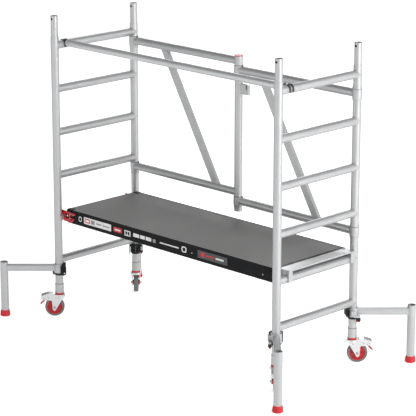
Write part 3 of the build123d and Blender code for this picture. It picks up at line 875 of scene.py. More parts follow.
def bead_tree():
    """A rippled bead along every closed line of the mesh it is given."""
    tree, start, end = geometry_tree(
        "WeldBead",
        [
            ("Bead Radius", "NodeSocketFloat"),
            ("Ripple Pitch", "NodeSocketFloat"),
            ("Ripple Depth", "NodeSocketFloat"),
            ("Material", "NodeSocketMaterial"),
        ],
    )
    lines = tree.nodes.new("GeometryNodeMeshToCurve")
    tree.links.new(start.outputs["Geometry"], lines.inputs["Mesh"])
    along = tree.nodes.new("GeometryNodeSplineParameter").outputs["Length"]
    turns = arithmetic(tree, "DIVIDE", along, start.outputs["Ripple Pitch"])
    wave = arithmetic(tree, "SINE", arithmetic(tree, "MULTIPLY", turns, 2 * math.pi))
    swell = arithmetic(tree, "MULTIPLY", wave, start.outputs["Ripple Depth"])
    radius = arithmetic(
        tree, "MULTIPLY", arithmetic(tree, "ADD", swell, 1.0), start.outputs["Bead Radius"]
    )
    profile = tree.nodes.new("GeometryNodeCurvePrimitiveCircle")
    profile.inputs["Resolution"].default_value = 6
    profile.inputs["Radius"].default_value = 1.0
    sweep = tree.nodes.new("GeometryNodeCurveToMesh")
    if "Scale" in sweep.inputs:
        tree.links.new(lines.outputs["Curve"], sweep.inputs["Curve"])
        tree.links.new(radius, sweep.inputs["Scale"])
    else:
        swollen = tree.nodes.new("GeometryNodeSetCurveRadius")
        tree.links.new(lines.outputs["Curve"], swollen.inputs["Curve"])
        tree.links.new(radius, swollen.inputs["Radius"])
        tree.links.new(swollen.outputs["Curve"], sweep.inputs["Curve"])
    tree.links.new(profile.outputs["Curve"], sweep.inputs["Profile Curve"])
    end_tree(tree, start, end, sweep.outputs["Mesh"])
    return tree


def join(tree, *geometries):
    """Joins geometries into one."""
    node = tree.nodes.new("GeometryNodeJoinGeometry")
    for geometry in geometries:
        tree.links.new(geometry, node.inputs["Geometry"])
    return node.outputs["Geometry"]


def scatter_tree(name, make_shape):
    """Sets one shape on every point, turned by the point's "turn" attribute."""
    tree, start, end = geometry_tree(
        name,
        [
            ("Radius", "NodeSocketFloat"),
            ("Height", "NodeSocketFloat"),
            ("Length", "NodeSocketFloat"),
            ("Material", "NodeSocketMaterial"),
        ],
    )
    shape = make_shape(tree, start.outputs)
    turn = tree.nodes.new("GeometryNodeInputNamedAttribute")
    turn.data_type = "FLOAT_VECTOR"
    turn.inputs["Name"].default_value = "turn"
    turned = tree.nodes.new("FunctionNodeEulerToRotation")
    tree.links.new(turn.outputs["Attribute"], turned.inputs["Euler"])
    place = tree.nodes.new("GeometryNodeInstanceOnPoints")
    tree.links.new(start.outputs["Geometry"], place.inputs["Points"])
    tree.links.new(shape, place.inputs["Instance"])
    tree.links.new(turned.outputs["Rotation"], place.inputs["Rotation"])
    end_tree(tree, start, end, place.outputs["Instances"])
    return tree


def nut_shape(tree, sizes):
    """A hexagon nut on a washer, with the end of its bolt showing."""
    washer = tree.nodes.new("GeometryNodeMeshCylinder")
    washer.inputs["Vertices"].default_value = 24
    tree.links.new(arithmetic(tree, "MULTIPLY", sizes["Radius"], 1.2), washer.inputs["Radius"])
    thin = arithmetic(tree, "MULTIPLY", sizes["Height"], 0.3)
    tree.links.new(thin, washer.inputs["Depth"])
    nut = tree.nodes.new("GeometryNodeMeshCone")
    nut.inputs["Vertices"].default_value = 6
    tree.links.new(arithmetic(tree, "MULTIPLY", sizes["Radius"], 0.9), nut.inputs["Radius Top"])
    tree.links.new(sizes["Radius"], nut.inputs["Radius Bottom"])
    tree.links.new(sizes["Height"], nut.inputs["Depth"])
    thread = tree.nodes.new("GeometryNodeMeshCone")
    thread.inputs["Vertices"].default_value = 16
    tree.links.new(arithmetic(tree, "MULTIPLY", sizes["Radius"], 0.4), thread.inputs["Radius Top"])
    tree.links.new(
        arithmetic(tree, "MULTIPLY", sizes["Radius"], 0.5), thread.inputs["Radius Bottom"]
    )
    tree.links.new(arithmetic(tree, "MULTIPLY", sizes["Height"], 1.35), thread.inputs["Depth"])
    return join(tree, washer.outputs["Mesh"], nut.outputs["Mesh"], thread.outputs["Mesh"])


def rivet_shape(tree, sizes):
    """A low domed rivet head."""
    ball = tree.nodes.new("GeometryNodeMeshUVSphere")
    ball.inputs["Segments"].default_value = 14
    ball.inputs["Rings"].default_value = 8
    ball.inputs["Radius"].default_value = 1.0
    scale = tree.nodes.new("ShaderNodeCombineXYZ")
    tree.links.new(sizes["Radius"], scale.inputs["X"])
    tree.links.new(sizes["Radius"], scale.inputs["Y"])
    tree.links.new(sizes["Height"], scale.inputs["Z"])
    press = tree.nodes.new("GeometryNodeTransform")
    tree.links.new(ball.outputs["Mesh"], press.inputs["Geometry"])
    tree.links.new(scale.outputs[0], press.inputs["Scale"])
    return press.outputs["Geometry"]


def rib_shape(tree, sizes):
    """A raised rib, narrower at its top."""
    rib = tree.nodes.new("GeometryNodeMeshCone")
    rib.inputs["Vertices"].default_value = 4
    rib.inputs["Radius Top"].default_value = 0.5
    rib.inputs["Radius Bottom"].default_value = math.sqrt(0.5)
    rib.inputs["Depth"].default_value = 1.0
    square = tree.nodes.new("GeometryNodeTransform")
    square.inputs["Rotation"].default_value = (0, 0, math.radians(45))
    tree.links.new(rib.outputs["Mesh"], square.inputs["Geometry"])
    scale = tree.nodes.new("ShaderNodeCombineXYZ")
    tree.links.new(sizes["Length"], scale.inputs["X"])
    tree.links.new(sizes["Radius"], scale.inputs["Y"])
    tree.links.new(sizes["Height"], scale.inputs["Z"])
    stretch = tree.nodes.new("GeometryNodeTransform")
    tree.links.new(square.outputs["Geometry"], stretch.inputs["Geometry"])
    tree.links.new(scale.outputs[0], stretch.inputs["Scale"])
    return stretch.outputs["Geometry"]


trees = {}


def tree_named(name):
    """One Geometry Nodes tree, built the first time it is asked for."""
    shapes = {"Nuts": nut_shape, "Rivets": rivet_shape, "Ribs": rib_shape}
    if name not in trees:
        trees[name] = bead_tree() if name == "WeldBead" else scatter_tree(name, shapes[name])
    return trees[name]


def grow(source, tree, values, name):
    """Runs a tree on a mesh and hands back the plain result."""
    carrier = bpy.data.objects.new(f"{name}_carrier", source)
    bpy.context.scene.collection.objects.link(carrier)
    modifier = carrier.modifiers.new("grow", "NODES")
    modifier.node_group = tree
    for item in tree.interface.items_tree:
        if item.item_type == "SOCKET" and item.in_out == "INPUT" and item.name in values:
            modifier[item.identifier] = values[item.name]
    bpy.context.view_layer.update()
    graph = bpy.context.evaluated_depsgraph_get()
    result = bpy.data.meshes.new_from_object(
        carrier.evaluated_get(graph), preserve_all_data_layers=True, depsgraph=graph
    )
    carrier.modifiers.remove(modifier)
    bpy.data.objects.remove(carrier)
    bpy.data.meshes.remove(source)
    if not result.polygons:
        raise RuntimeError(f"the tree for {name} made nothing")
    result.name = name
    return result


def scatter(name, tree, places, body, slot, material, radius, height, length=0.0):
    """One shape at each place, as a single piece."""
    source = bpy.data.meshes.new(f"{name}_points")
    source.from_pydata([place.to_translation() for place in places], [], [])
    turn = source.attributes.new("turn", "FLOAT_VECTOR", "POINT")
    for i, place in enumerate(places):
        turn.data[i].vector = place.to_euler()
    values = {"Radius": radius, "Height": height, "Length": length, "Material": material}
    mesh = grow(source, tree_named(tree), values, name)
    return keep_piece(mesh, name, body)


def weld(name, loops, body, sizes, radius=None):
    """Beads along closed loops of points, as a single piece."""
    points, edges = [], []
    for loop in loops:
        base = len(points)
        points += loop
        edges += [(base + i, base + (i + 1) % len(loop)) for i in range(len(loop))]
    source = bpy.data.meshes.new(f"{name}_lines")
    source.from_pydata(points, edges, [])
    values = {
        "Bead Radius": radius or sizes.bead_radius,
        "Ripple Pitch": sizes.ripple_pitch,
        "Ripple Depth": sizes.ripple_depth,
        "Material": finish_named("weld"),
    }
    mesh = grow(source, tree_named("WeldBead"), values, name)
    mesh.shade_smooth()
    return keep_piece(mesh, name, body)


def circle_steps(count):
    """Evenly spaced angles round a circle."""
    return [2 * math.pi * i / count for i in range(count)]


def rung_loop(x, side, height, steps=88):
    """The seam where a rung meets an upright."""
    loop = []
    for angle in circle_steps(steps):
        across = RUNG_RADIUS * math.cos(angle)
        depth = math.sqrt(TUBE_RADIUS**2 - across**2)
        y = side * (REAR_Y - depth)
        loop.append(Vector((x + across, y, height + RUNG_RADIUS * math.sin(angle))))
    return loop


def tube_end_loop(centre_x, toward, height, radius, steps=80):
    """The seam where a brace tube meets an upright cylinder of the given radius."""
    loop = []
    for angle in circle_steps(steps):
        across = BRACE_RADIUS * math.cos(angle)
        depth = math.sqrt(max(radius**2 - across**2, 1e-8))
        x = centre_x + toward * depth
        loop.append(Vector((x, REAR_Y + across, height + BRACE_RADIUS * math.sin(angle))))
    return loop


def diagonal_loop(start_x, top, bottom, upper, steps=14):
    """The seam where a flat-sided diagonal meets a round tube."""
    run = Vector((DIAGONAL_RUN, 0, bottom - top)).normalized()
    square = Vector((-run.z, 0, run.x))
    outline = []
    wide, deep = DIAGONAL_HALF, DIAGONAL_HALF_DEPTH
    corners = ((-wide, -deep), (wide, -deep), (wide, deep), (-wide, deep))
    for here, there in zip(corners, corners[1:] + corners[:1]):
        for step in range(steps):
            share = step / steps
            outline.append(
                (
                    here[0] + (there[0] - here[0]) * share,
                    here[1] + (there[1] - here[1]) * share,
                )
            )
    loop = []
    for a, b in outline:
        depth = math.sqrt(BRACE_RADIUS**2 - b**2)
        base = Vector((start_x, REAR_Y + b, top)) + square * a
        level = top - depth if upper else bottom + depth
        loop.append(base + run * ((level - base.z) / run.z))
    return loop


def arm_loop(corner, reach, radius, toward):
    """The seam where a square outrigger arm meets a round tube."""
    place = at_corner(corner)
    loop = []
    for t, z in rounded_outline(2 * ARM_HALF, 2 * ARM_HALF, ARM_CORNER, 8):
        s = reach + toward * math.sqrt(radius**2 - t**2)
        loop.append(place @ Vector((s, t, ARM_HEIGHT + z)))
    return refined(loop, 0.0012)


def refined(loop, spacing):
    """Adds points along a closed loop until none is further apart than spacing."""
    result = []
    for here, there in zip(loop, loop[1:] + loop[:1]):
        count = max(1, int((there - here).length / spacing))
        result += [here.lerp(there, i / count) for i in range(count)]
    return result


# ---- Operators --------------------------------------------------------------
RING_STEPS = 40
TYRE_STEPS = 56
FOOT_STEPS = 48


class TOWER_OT_finishes(Operator):
    """Make the materials and give each frame node its own"""

    bl_idname = "tower.finishes"
    bl_label = "Finish the Frame Nodes"

    def execute(self, context):
        made.update(make_finishes(context.scene.tower_finishes))
        wanted = dict(NODE_FINISH)
        for corner in CORNERS:
            for node, finish in CORNER_FINISH.items():
                wanted[f"{node}_{corner}"] = finish
            wanted[f"outrigger_clamp_{corner}"] = f"clamp_{corner}"
            turned = corner in ("front_left", "rear_right")
            wanted[f"outrigger_arm_{corner}"] = "other_diagonal" if turned else "diagonal"
        for node, finish in wanted.items():
            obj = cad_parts[node]
            obj.data.materials.clear()
            obj.data.materials.append(finish_named(finish))
        bare = set(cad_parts) - set(wanted)
        if bare:
            raise RuntimeError(f"these nodes have no finish: {sorted(bare)}")
        return {"FINISHED"}


class TOWER_OT_frame_welds(Operator):
    """Weld the rungs to the uprights"""

    bl_idname = "tower.frame_welds"
    bl_label = "Weld the End Frames"

    def execute(self, context):
        for label, x in (("left", LEFT_X), ("right", RIGHT_X)):
            loops = [
                rung_loop(x, side, FIRST_RUNG + RUNG_PITCH * i)
                for side in (-1, 1)
                for i in range(RUNG_COUNT)
            ]
            weld(f"{label}_rung_welds", loops, "end_frames", context.scene.tower_sizes)
        return {"FINISHED"}


class TOWER_OT_brace_welds(Operator):
    """Weld the tubes, diagonals and sleeves of the folding brace"""

    bl_idname = "tower.brace_welds"
    bl_label = "Weld the Rear Brace"

    def execute(self, context):
        sizes = context.scene.tower_sizes
        loops = [diagonal_loop(LEFT_DIAGONAL, *LEFT_TUBES, upper) for upper in (True, False)]
        loops += [tube_end_loop(LEFT_X, 1, z, SLEEVE_RADIUS) for z in LEFT_TUBES]
        loops += [tube_end_loop(POST_X, -1, z, TUBE_RADIUS) for z in LEFT_TUBES]
        weld("left_panel_welds", loops, "rear_left_panel", sizes)
        loops = [diagonal_loop(RIGHT_DIAGONAL, *RIGHT_TUBES, upper) for upper in (True, False)]
        loops += [tube_end_loop(POST_X, 1, z, SLEEVE_RADIUS) for z in RIGHT_TUBES]
        weld("right_panel_welds", loops, "rear_right_panel", sizes)
        return {"FINISHED"}


class TOWER_OT_sleeve_pins(Operator):
    """Set the dark locking pins on the brace tubes beside their sleeves"""

    bl_idname = "tower.sleeve_pins"
    bl_label = "Add the Sleeve Pins"

    def execute(self, context):
        sizes = context.scene.tower_sizes
        beside = SLEEVE_RADIUS + 0.004
        level = BRACE_RADIUS
        left = [facing((LEFT_X + beside, REAR_Y, z + level), ALONG_Z) for z in LEFT_TUBES]
        right = [
            facing((x, REAR_Y, z + level), ALONG_Z)
            for x in (POST_X + beside, RIGHT_X - beside)
            for z in RIGHT_TUBES
        ]
        pin = {"radius": sizes.pin_radius, "height": 0.0060}
        black = finish_named("black")
        for name, places, body in (
            ("left_panel_pins", left, "rear_left_panel"),
            ("right_panel_pins", right, "rear_right_panel"),
        ):
            scatter(name, "Rivets", places, body, "black_plastic", black, **pin)
        return {"FINISHED"}


class TOWER_OT_stem_gaskets(Operator):
    """Lay the dark gaskets between the castor sleeves and the uprights"""

    bl_idname = "tower.stem_gaskets"
    bl_label = "Add the Stem Gaskets"

    def execute(self, context):
        bm = bmesh.new()
        profile = raised(GASKET, TUBE_RADIUS, STEM_TOP)
        for corner in CORNERS:
            add_lathe(bm, profile, at_corner(corner), RING_STEPS)
        mesh = mesh_from(bm, "stem_gaskets", smooth=True)
        keep_piece(mesh, "stem_gaskets", "end_frames", finish_named("grey"))
        return {"FINISHED"}


class TOWER_OT_button_caps(Operator):
    """Cap the spring buttons of the spigots with dark domes"""

    bl_idname = "tower.button_caps"
    bl_label = "Cap the Spring Buttons"

    def execute(self, context):
        low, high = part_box("spigot_buttons")
        height = (low.z + high.z) / 2
        corners = [(x, y) for x, y, heading in CORNERS.values()]
        places = [facing((x, y - SPIGOT_FACE, height), FORWARD) for x, y in corners]
        black = finish_named("black")
        radius = context.scene.tower_sizes.button_radius
        cap = {"radius": radius, "height": 0.0030}
        scatter("button_caps", "Rivets", places, "end_frames", "black_plastic", black, **cap)
        return {"FINISHED"}


class TOWER_OT_hinge_rings(Operator):
    """Lay dark rings where the brace's sleeves end on their tubes"""

    bl_idname = "tower.hinge_rings"
    bl_label = "Add the Hinge Rings"

    def execute(self, context):
        ring = raised(HINGE_RING, TUBE_RADIUS, 0.0)
        grey = finish_named("grey")
        for name, x, tubes, body in (
            ("left_hinge_rings", LEFT_X, LEFT_TUBES, "end_frames"),
            ("post_hinge_rings", POST_X, RIGHT_TUBES, "rear_left_panel"),
            ("right_hinge_rings", RIGHT_X, RIGHT_TUBES, "end_frames"),
        ):
            bm = bmesh.new()
            for z in tubes:
                place = Matrix.Translation((x, REAR_Y, z + SLEEVE_ABOVE))
                add_lathe(bm, ring, place, RING_STEPS)
            mesh = mesh_from(bm, name, smooth=True)
            keep_piece(mesh, name, body, grey)
        return {"FINISHED"}


def stick_panels(groups, front, thin):
    """Groups of thin plates on a front face, each group on its own layer."""
    for name, finish, slot, layer, panels in groups:
        bm = bmesh.new()
        for left, right, low, high, radius in panels:
            centre = ((left + right) / 2, front - layer * thin, (low + high) / 2)
            outline = rounded_outline(right - left, high - low, radius)
            add_plate(bm, outline, upon(centre, ALONG_X, FORWARD), thin)
        keep_piece(mesh_from(bm, name), name, "platform", finish_named(finish))


class TOWER_OT_beam_panels(Operator):
    """Stick plain pale and red panels to the front beam"""

    bl_idname = "tower.beam_panels"
    bl_label = "Add the Beam Panels"

    def execute(self, context):
        stick_panels(BEAM_PANELS, BEAM_FRONT, context.scene.tower_sizes.label_thickness)
        return {"FINISHED"}


# Plain panels: name, finish, slot, layer, then (left, right, low, high, corner radius).
BEAM_PANELS = (
    (
        "beam_panels_pale",
        "label",
        "aluminium",
        0,
        (
            (-0.797, -0.768, 0.660, 0.694, 0.012),
            (-0.748, -0.492, 0.655, 0.699, 0.003),
            (-0.368, -0.314, 0.657, 0.692, 0.004),
            (-0.289, -0.234, 0.665, 0.688, 0.002),
            (-0.226, -0.184, 0.665, 0.688, 0.002),
            (-0.176, -0.127, 0.665, 0.688, 0.002),
            (-0.051, 0.115, 0.672, 0.680, 0.002),
            (0.140, 0.182, 0.658, 0.696, 0.014),
        ),
    ),
    (
        "beam_panels_grey",
        "grey_label_and_slot_shade",
        "grey_plastic",
        0,
        ((-0.113, -0.088, 0.664, 0.686, 0.002),),
    ),
    (
        "beam_bars_grey",
        "grey_label_and_slot_shade",
        "grey_plastic",
        1,
        (
            (-0.680, -0.645, 0.664, 0.690, 0.002),
            (-0.632, -0.580, 0.673, 0.681, 0.002),
            (-0.568, -0.508, 0.673, 0.681, 0.002),
        ),
    ),
    (
        "beam_panel_dark",
        "grey",
        "grey_plastic",
        0,
        ((0.278, 0.527, 0.653, 0.701, 0.004),),
    ),
    (
        "beam_bars_pale",
        "label",
        "aluminium",
        1,
        ((0.430, 0.497, 0.672, 0.683, 0.001),),
    ),
    (
        "beam_insets_pale",
        "label",
        "aluminium",
        2,
        (
            (-0.733, -0.697, 0.670, 0.685, 0.002),
            (-0.456, -0.406, 0.672, 0.682, 0.002),
        ),
    ),
    (
        "beam_insets_black",
        "black",
        "black_plastic",
        1,
        (
            (-0.792, -0.773, 0.666, 0.688, 0.008),
            (-0.360, -0.344, 0.664, 0.686, 0.002),
            (-0.338, -0.322, 0.664, 0.686, 0.002),
            (0.148, 0.174, 0.665, 0.689, 0.010),
        ),
    ),
    (
        "beam_panels_red",
        "label_red",
        "red_plastic",
        1,
        (
            (-0.740, -0.690, 0.664, 0.691, 0.003),
            (-0.470, -0.392, 0.661, 0.693, 0.008),
            (0.305, 0.340, 0.664, 0.692, 0.004),
            (0.352, 0.420, 0.672, 0.683, 0.001),
        ),
    ),
)


class TOWER_OT_claw_inserts(Operator):
    """Set black plates of painted shade for the pockets, and a pale stud, in the face of the front
    left claw
    """

    bl_idname = "tower.claw_inserts"
    bl_label = "Add the Claw Inserts"

    def execute(self, context):
        stick_panels(CLAW_INSERTS, CLAW_FRONT, context.scene.tower_sizes.label_thickness)
        return {"FINISHED"}


# Claw inserts: name, finish, slot, layer, then (left, right, low, high, corner radius).
CLAW_INSERTS = (
    # The black pocket plates are painted shade for the hollows of the claw's pockets.
    (
        "claw_pockets_painted_shade",
        "black",
        "black_plastic",
        0,
        (
            (-0.916, -0.886, 0.660, 0.693, 0.005),
            (-0.878, -0.852, 0.655, 0.662, 0.002),
            (-0.878, -0.852, 0.686, 0.692, 0.002),
        ),
    ),
    ("claw_stud", "label", "aluminium", 1, ((-0.903, -0.893, 0.674, 0.684, 0.004),)),
)


class TOWER_OT_deck_trim(Operator):
    """Add the deck's corner caps, end strip, black plates of painted shade for its slots, and edge
    rivets
    """

    bl_idname = "tower.deck_trim"
    bl_label = "Trim the Deck"

    def execute(self, context):
        sizes = context.scene.tower_sizes
        black = finish_named("black")
        self.caps(black)
        self.slots(black)
        self.rivets(sizes.rivet_radius * 0.7)
        return {"FINISHED"}

    def caps(self, black):
        """Caps on the deck's left corners and a strip along its right edge."""
        length, width, height, sunk = 0.042, 0.034, 0.0028, 0.0012
        strip_width, strip_height, margin = 0.022, 0.0020, 0.001
        bm = bmesh.new()
        for side in (-1, 1):
            centre = (_deck_low.x + length / 2, side * (-BEAM_FRONT - width / 2))
            place = Matrix.Translation((*centre, DECK_TOP + sunk))
            add_plate(bm, rounded_outline(length, width, 0.006), place, height)
        strip = Matrix.Translation((_deck_high.x - strip_width / 2 - 0.0002, 0, DECK_TOP))
        span = _deck_high.y - _deck_low.y - 2 * margin
        add_plate(bm, rounded_outline(strip_width, span, margin), strip, strip_height)
        mesh = mesh_from(bm, "deck_caps")
        keep_piece(mesh, "deck_caps", "platform", black)

    def slots(self, black):
        """Black plates on the deck's right end, as painted shade in its slots."""
        face = _deck_high.x + 0.0041
        bm = bmesh.new()
        # Each slot is a thin black plate on the face: painted shade, not an opening.
        for y, z, length, height in NOSE_SLOTS_PAINTED_SHADE:
            outline = rounded_outline(length, height, height * 0.4)
            add_plate(bm, outline, upon((face, y, z), ALONG_Y, ALONG_X), 0.0005)
        mesh = mesh_from(bm, "nose_slots_painted_shade")
        keep_piece(mesh, "nose_slots_painted_shade", "platform", black)

    def rivets(self, radius):
        """Flat rivets along the deck's long edges."""
        step, end_margin, side_margin = 0.148, 0.12, 0.016
        count = int((_deck_high.x - _deck_low.x - end_margin) / step) + 1
        start = (_deck_high.x + _deck_low.x) / 2 - step * (count - 1) / 2
        edge = _deck_high.y - side_margin
        places = [
            Matrix.Translation((start + step * i, side * edge, DECK_TOP))
            for i in range(count)
            for side in (-1, 1)
        ]
        grey = finish_named("grey")
        scatter("deck_rivets", "Rivets", places, "platform", "steel", grey, radius, 0.0007)


# Black plates of painted shade for the slots in the right end of the deck: y, z, length along y,
# height.
NOSE_SLOTS_PAINTED_SHADE = (
    (0.0, 0.7065, 0.560, 0.004),
    (-0.150, 0.664, 0.070, 0.010),
    (0.150, 0.664, 0.070, 0.010),
    (0.0, 0.642, 0.590, 0.0025),
)


class TOWER_OT_castor_details(Operator):
    """Add the castors' nuts, rivets, races, hub ribs and pedal ribs"""

    bl_idname = "tower.castor_details"
    bl_label = "Detail the Castors"

    def execute(self, context):
        sizes = context.scene.tower_sizes
        for corner in CORNERS:
            place = at_corner(corner)
            self.fasteners(corner, place, sizes)
            self.race(corner, place)
            self.wheel(corner, place, sizes)
            self.pedal(corner, place)
        return {"FINISHED"}

    def fasteners(self, corner, place, sizes):
        """Nuts on the axle and rivets in the housing's cheeks."""
        body = f"castor_{corner}"
        steel = finish_named("steel")
        reach = FORK_HALF + AXLE_STAND_OFF
        nuts = [
            place @ facing((TRAIL, side * reach, WHEEL_RADIUS), (0, side, 0), 0.35)
            for side in (-1, 1)
        ]
        nut = {"radius": sizes.nut_radius, "height": sizes.nut_height}
        scatter(f"axle_nuts_{corner}", "Nuts", nuts, body, "steel", steel, **nut)
        heads = [
            place @ facing((x, side * (FORK_HALF + lift), z), (0, side, 0))
            for side in (-1, 1)
            for x, z, lift in HOUSING_RIVETS
        ]
        head = {"radius": sizes.rivet_radius, "height": 0.0018}
        scatter(f"housing_rivets_{corner}", "Rivets", heads, body, "steel", steel, **head)

    def race(self, corner, place):
        """The swivel race under the seal ring, and grey plates of painted shade for the slots on
        the housing's outer arm.
        """
        body = f"castor_{corner}"
        bm = bmesh.new()
        add_lathe(bm, SWIVEL_RACE, place, RING_STEPS)
        name = f"swivel_race_{corner}"
        mesh = mesh_from(bm, name, smooth=True)
        keep_piece(mesh, name, body, finish_named("zinc"))
        # The housing's slots are thin grey plates on the arm: painted shade, not holes.
        slot = rounded_outline(0.010, 0.009, 0.0020)
        bm = bmesh.new()
        for x, z in HOUSING_SLOTS_PAINTED_SHADE:
            for y in (-SLOT_SIDE, SLOT_SIDE):
                add_plate(bm, slot, place @ upon((x, y, z), FORWARD, HOUSING_UP), 0.0006)
        name = f"housing_slots_painted_shade_{corner}"
        grey = finish_named("grey_label_and_slot_shade")
        keep_piece(mesh_from(bm, name), name, body, grey)

    def wheel(self, corner, place, sizes):
        """Ribs in the hub's recess and a moulded line round the tyre's walls."""
        body = f"wheel_{corner}"
        inner, outer = HUB_RECESS
        middle = (inner + outer) / 2
        ribs = []
        for side in (-1, 1):
            for angle in circle_steps(sizes.hub_ribs):
                radial = Vector((math.cos(angle), 0, math.sin(angle)))
                centre = Vector((TRAIL, side * HUB_FACE, WHEEL_RADIUS)) + radial * middle
                ribs.append(place @ upon(centre, radial, side * ALONG_Y))
        rib = {"radius": 0.0042, "height": 0.0034, "length": outer - inner}
        red = finish_named("hub")
        scatter(f"hub_ribs_{corner}", "Ribs", ribs, body, "red_plastic", red, **rib)
        bm = bmesh.new()
        axle = place @ facing((TRAIL, 0, WHEEL_RADIUS), ALONG_Y)
        for side in (-1, 1):
            for radius in TYRE_LINE_RADII:
                profile = raised(TYRE_LINE, radius, side * TYRE_FACE)
                add_lathe(bm, profile, axle, TYRE_STEPS)
        name = f"tyre_lines_{corner}"
        mesh = mesh_from(bm, name, smooth=True)
        keep_piece(mesh, name, body, finish_named("tyre"))

    def pedal(self, corner, place):
        """Grip ribs across the brake pedal's sloping face."""
        upper, lower = [Vector((PEDAL_X + x, 0, PEDAL_Z + z)) for x, z in PEDAL_TREAD]
        ribs = [
            place @ upon(upper.lerp(lower, share), ALONG_Y, PEDAL_UP) for share in PEDAL_SHARES
        ]
        rib = {"radius": 0.0024, "height": 0.0022, "length": 0.0205}
        name = f"pedal_ribs_{corner}"
        red = finish_named("red")
        scatter(name, "Ribs", ribs, f"pedal_{corner}", "red_plastic", red, **rib)


class TOWER_OT_outrigger_details(Operator):
    """Add the outriggers' welds, foot rings, screws and knob ribs"""

    bl_idname = "tower.outrigger_details"
    bl_label = "Detail the Outriggers"

    def execute(self, context):
        sizes = context.scene.tower_sizes
        for corner in CORNERS:
            place = at_corner(corner)
            body = f"outrigger_{corner}"
            loops = [
                arm_loop(corner, LEG_REACH, TUBE_RADIUS, -1),
                arm_loop(corner, 0.0, CLAMP_RADIUS, 1),
            ]
            weld(f"arm_welds_{corner}", loops, body, sizes, 0.0024)
            self.foot(corner, place, body)
            self.screws(corner, place, body)
            self.knob(corner, place)
        return {"FINISHED"}

    def foot(self, corner, place, body):
        """Moulded rings round the foot's cone."""
        bm = bmesh.new()
        leg = place @ Matrix.Translation((LEG_REACH, 0, 0))
        for share in FOOT_SHARES:
            radius = FOOT_BASE[0] + (FOOT_TOP[0] - FOOT_BASE[0]) * share
            height = FOOT_BASE[1] + (FOOT_TOP[1] - FOOT_BASE[1]) * share
            add_lathe(bm, raised(FOOT_RING, radius, height), leg, FOOT_STEPS)
        name = f"foot_rings_{corner}"
        mesh = mesh_from(bm, name, smooth=True)
        keep_piece(mesh, name, body, finish_named("red_rubber"))

    def screws(self, corner, place, body):
        """Small hexagon screws on the clamp's bolt lugs."""
        x, z = CLAMP_SCREW
        reach = CLAMP_RADIUS - 0.0018
        places = [place @ facing((x, side * reach, z), (0, side, 0), 0.5) for side in (-1, 1)]
        steel = finish_named("steel")
        screw = {"radius": 0.0034, "height": 0.0026}
        scatter(f"clamp_screws_{corner}", "Nuts", places, body, "steel", steel, **screw)

    def knob(self, corner, place):
        """Grip ribs round the release knob."""
        places = [
            place @ upon((KNOB_X + x, KNOB_Y + side * KNOB_HALF, KNOB_Z), ALONG_Z, side * ALONG_Y)
            for x in (-0.009, -0.003, 0.003, 0.009)
            for side in (-1, 1)
        ]
        rib = {"radius": 0.0030, "height": 0.0016, "length": 0.013}
        name = f"knob_ribs_{corner}"
        black = finish_named("black")
        scatter(name, "Ribs", places, f"knob_{corner}", "black_plastic", black, **rib)


class TOWER_OT_guardrail_details(Operator):
    """Add the guardrail's welds and hook screws"""

    bl_idname = "tower.guardrail_details"
    bl_label = "Detail the Guardrail"

    def execute(self, context):
        sizes = context.scene.tower_sizes
        rail_y = (_rail_low.y + _rail_high.y) / 2
        rail_z = (_rail_low.z + _rail_high.z) / 2
        loops = []
        places = []
        for x, outward in ((_rail_low.x, -1), (_rail_high.x, 1)):
            loop = []
            for angle in circle_steps(72):
                y = rail_y + RAIL_RADIUS * math.cos(angle)
                z = rail_z + RAIL_RADIUS * math.sin(angle)
                loop.append(Vector((x - outward * 0.0004, y, z)))
            loops.append(loop)
            for side in (-1, 1):
                point = (x + outward * 0.036, rail_y + side * 0.0170, rail_z + 0.0202)
                places.append(facing(point, (0, side, 0), 0.2))
        weld("guardrail_welds", loops, "guardrail", sizes)
        steel = finish_named("steel")
        scatter("hook_screws", "Rivets", places, "guardrail", "steel", steel, 0.0035, 0.0014)
        return {"FINISHED"}


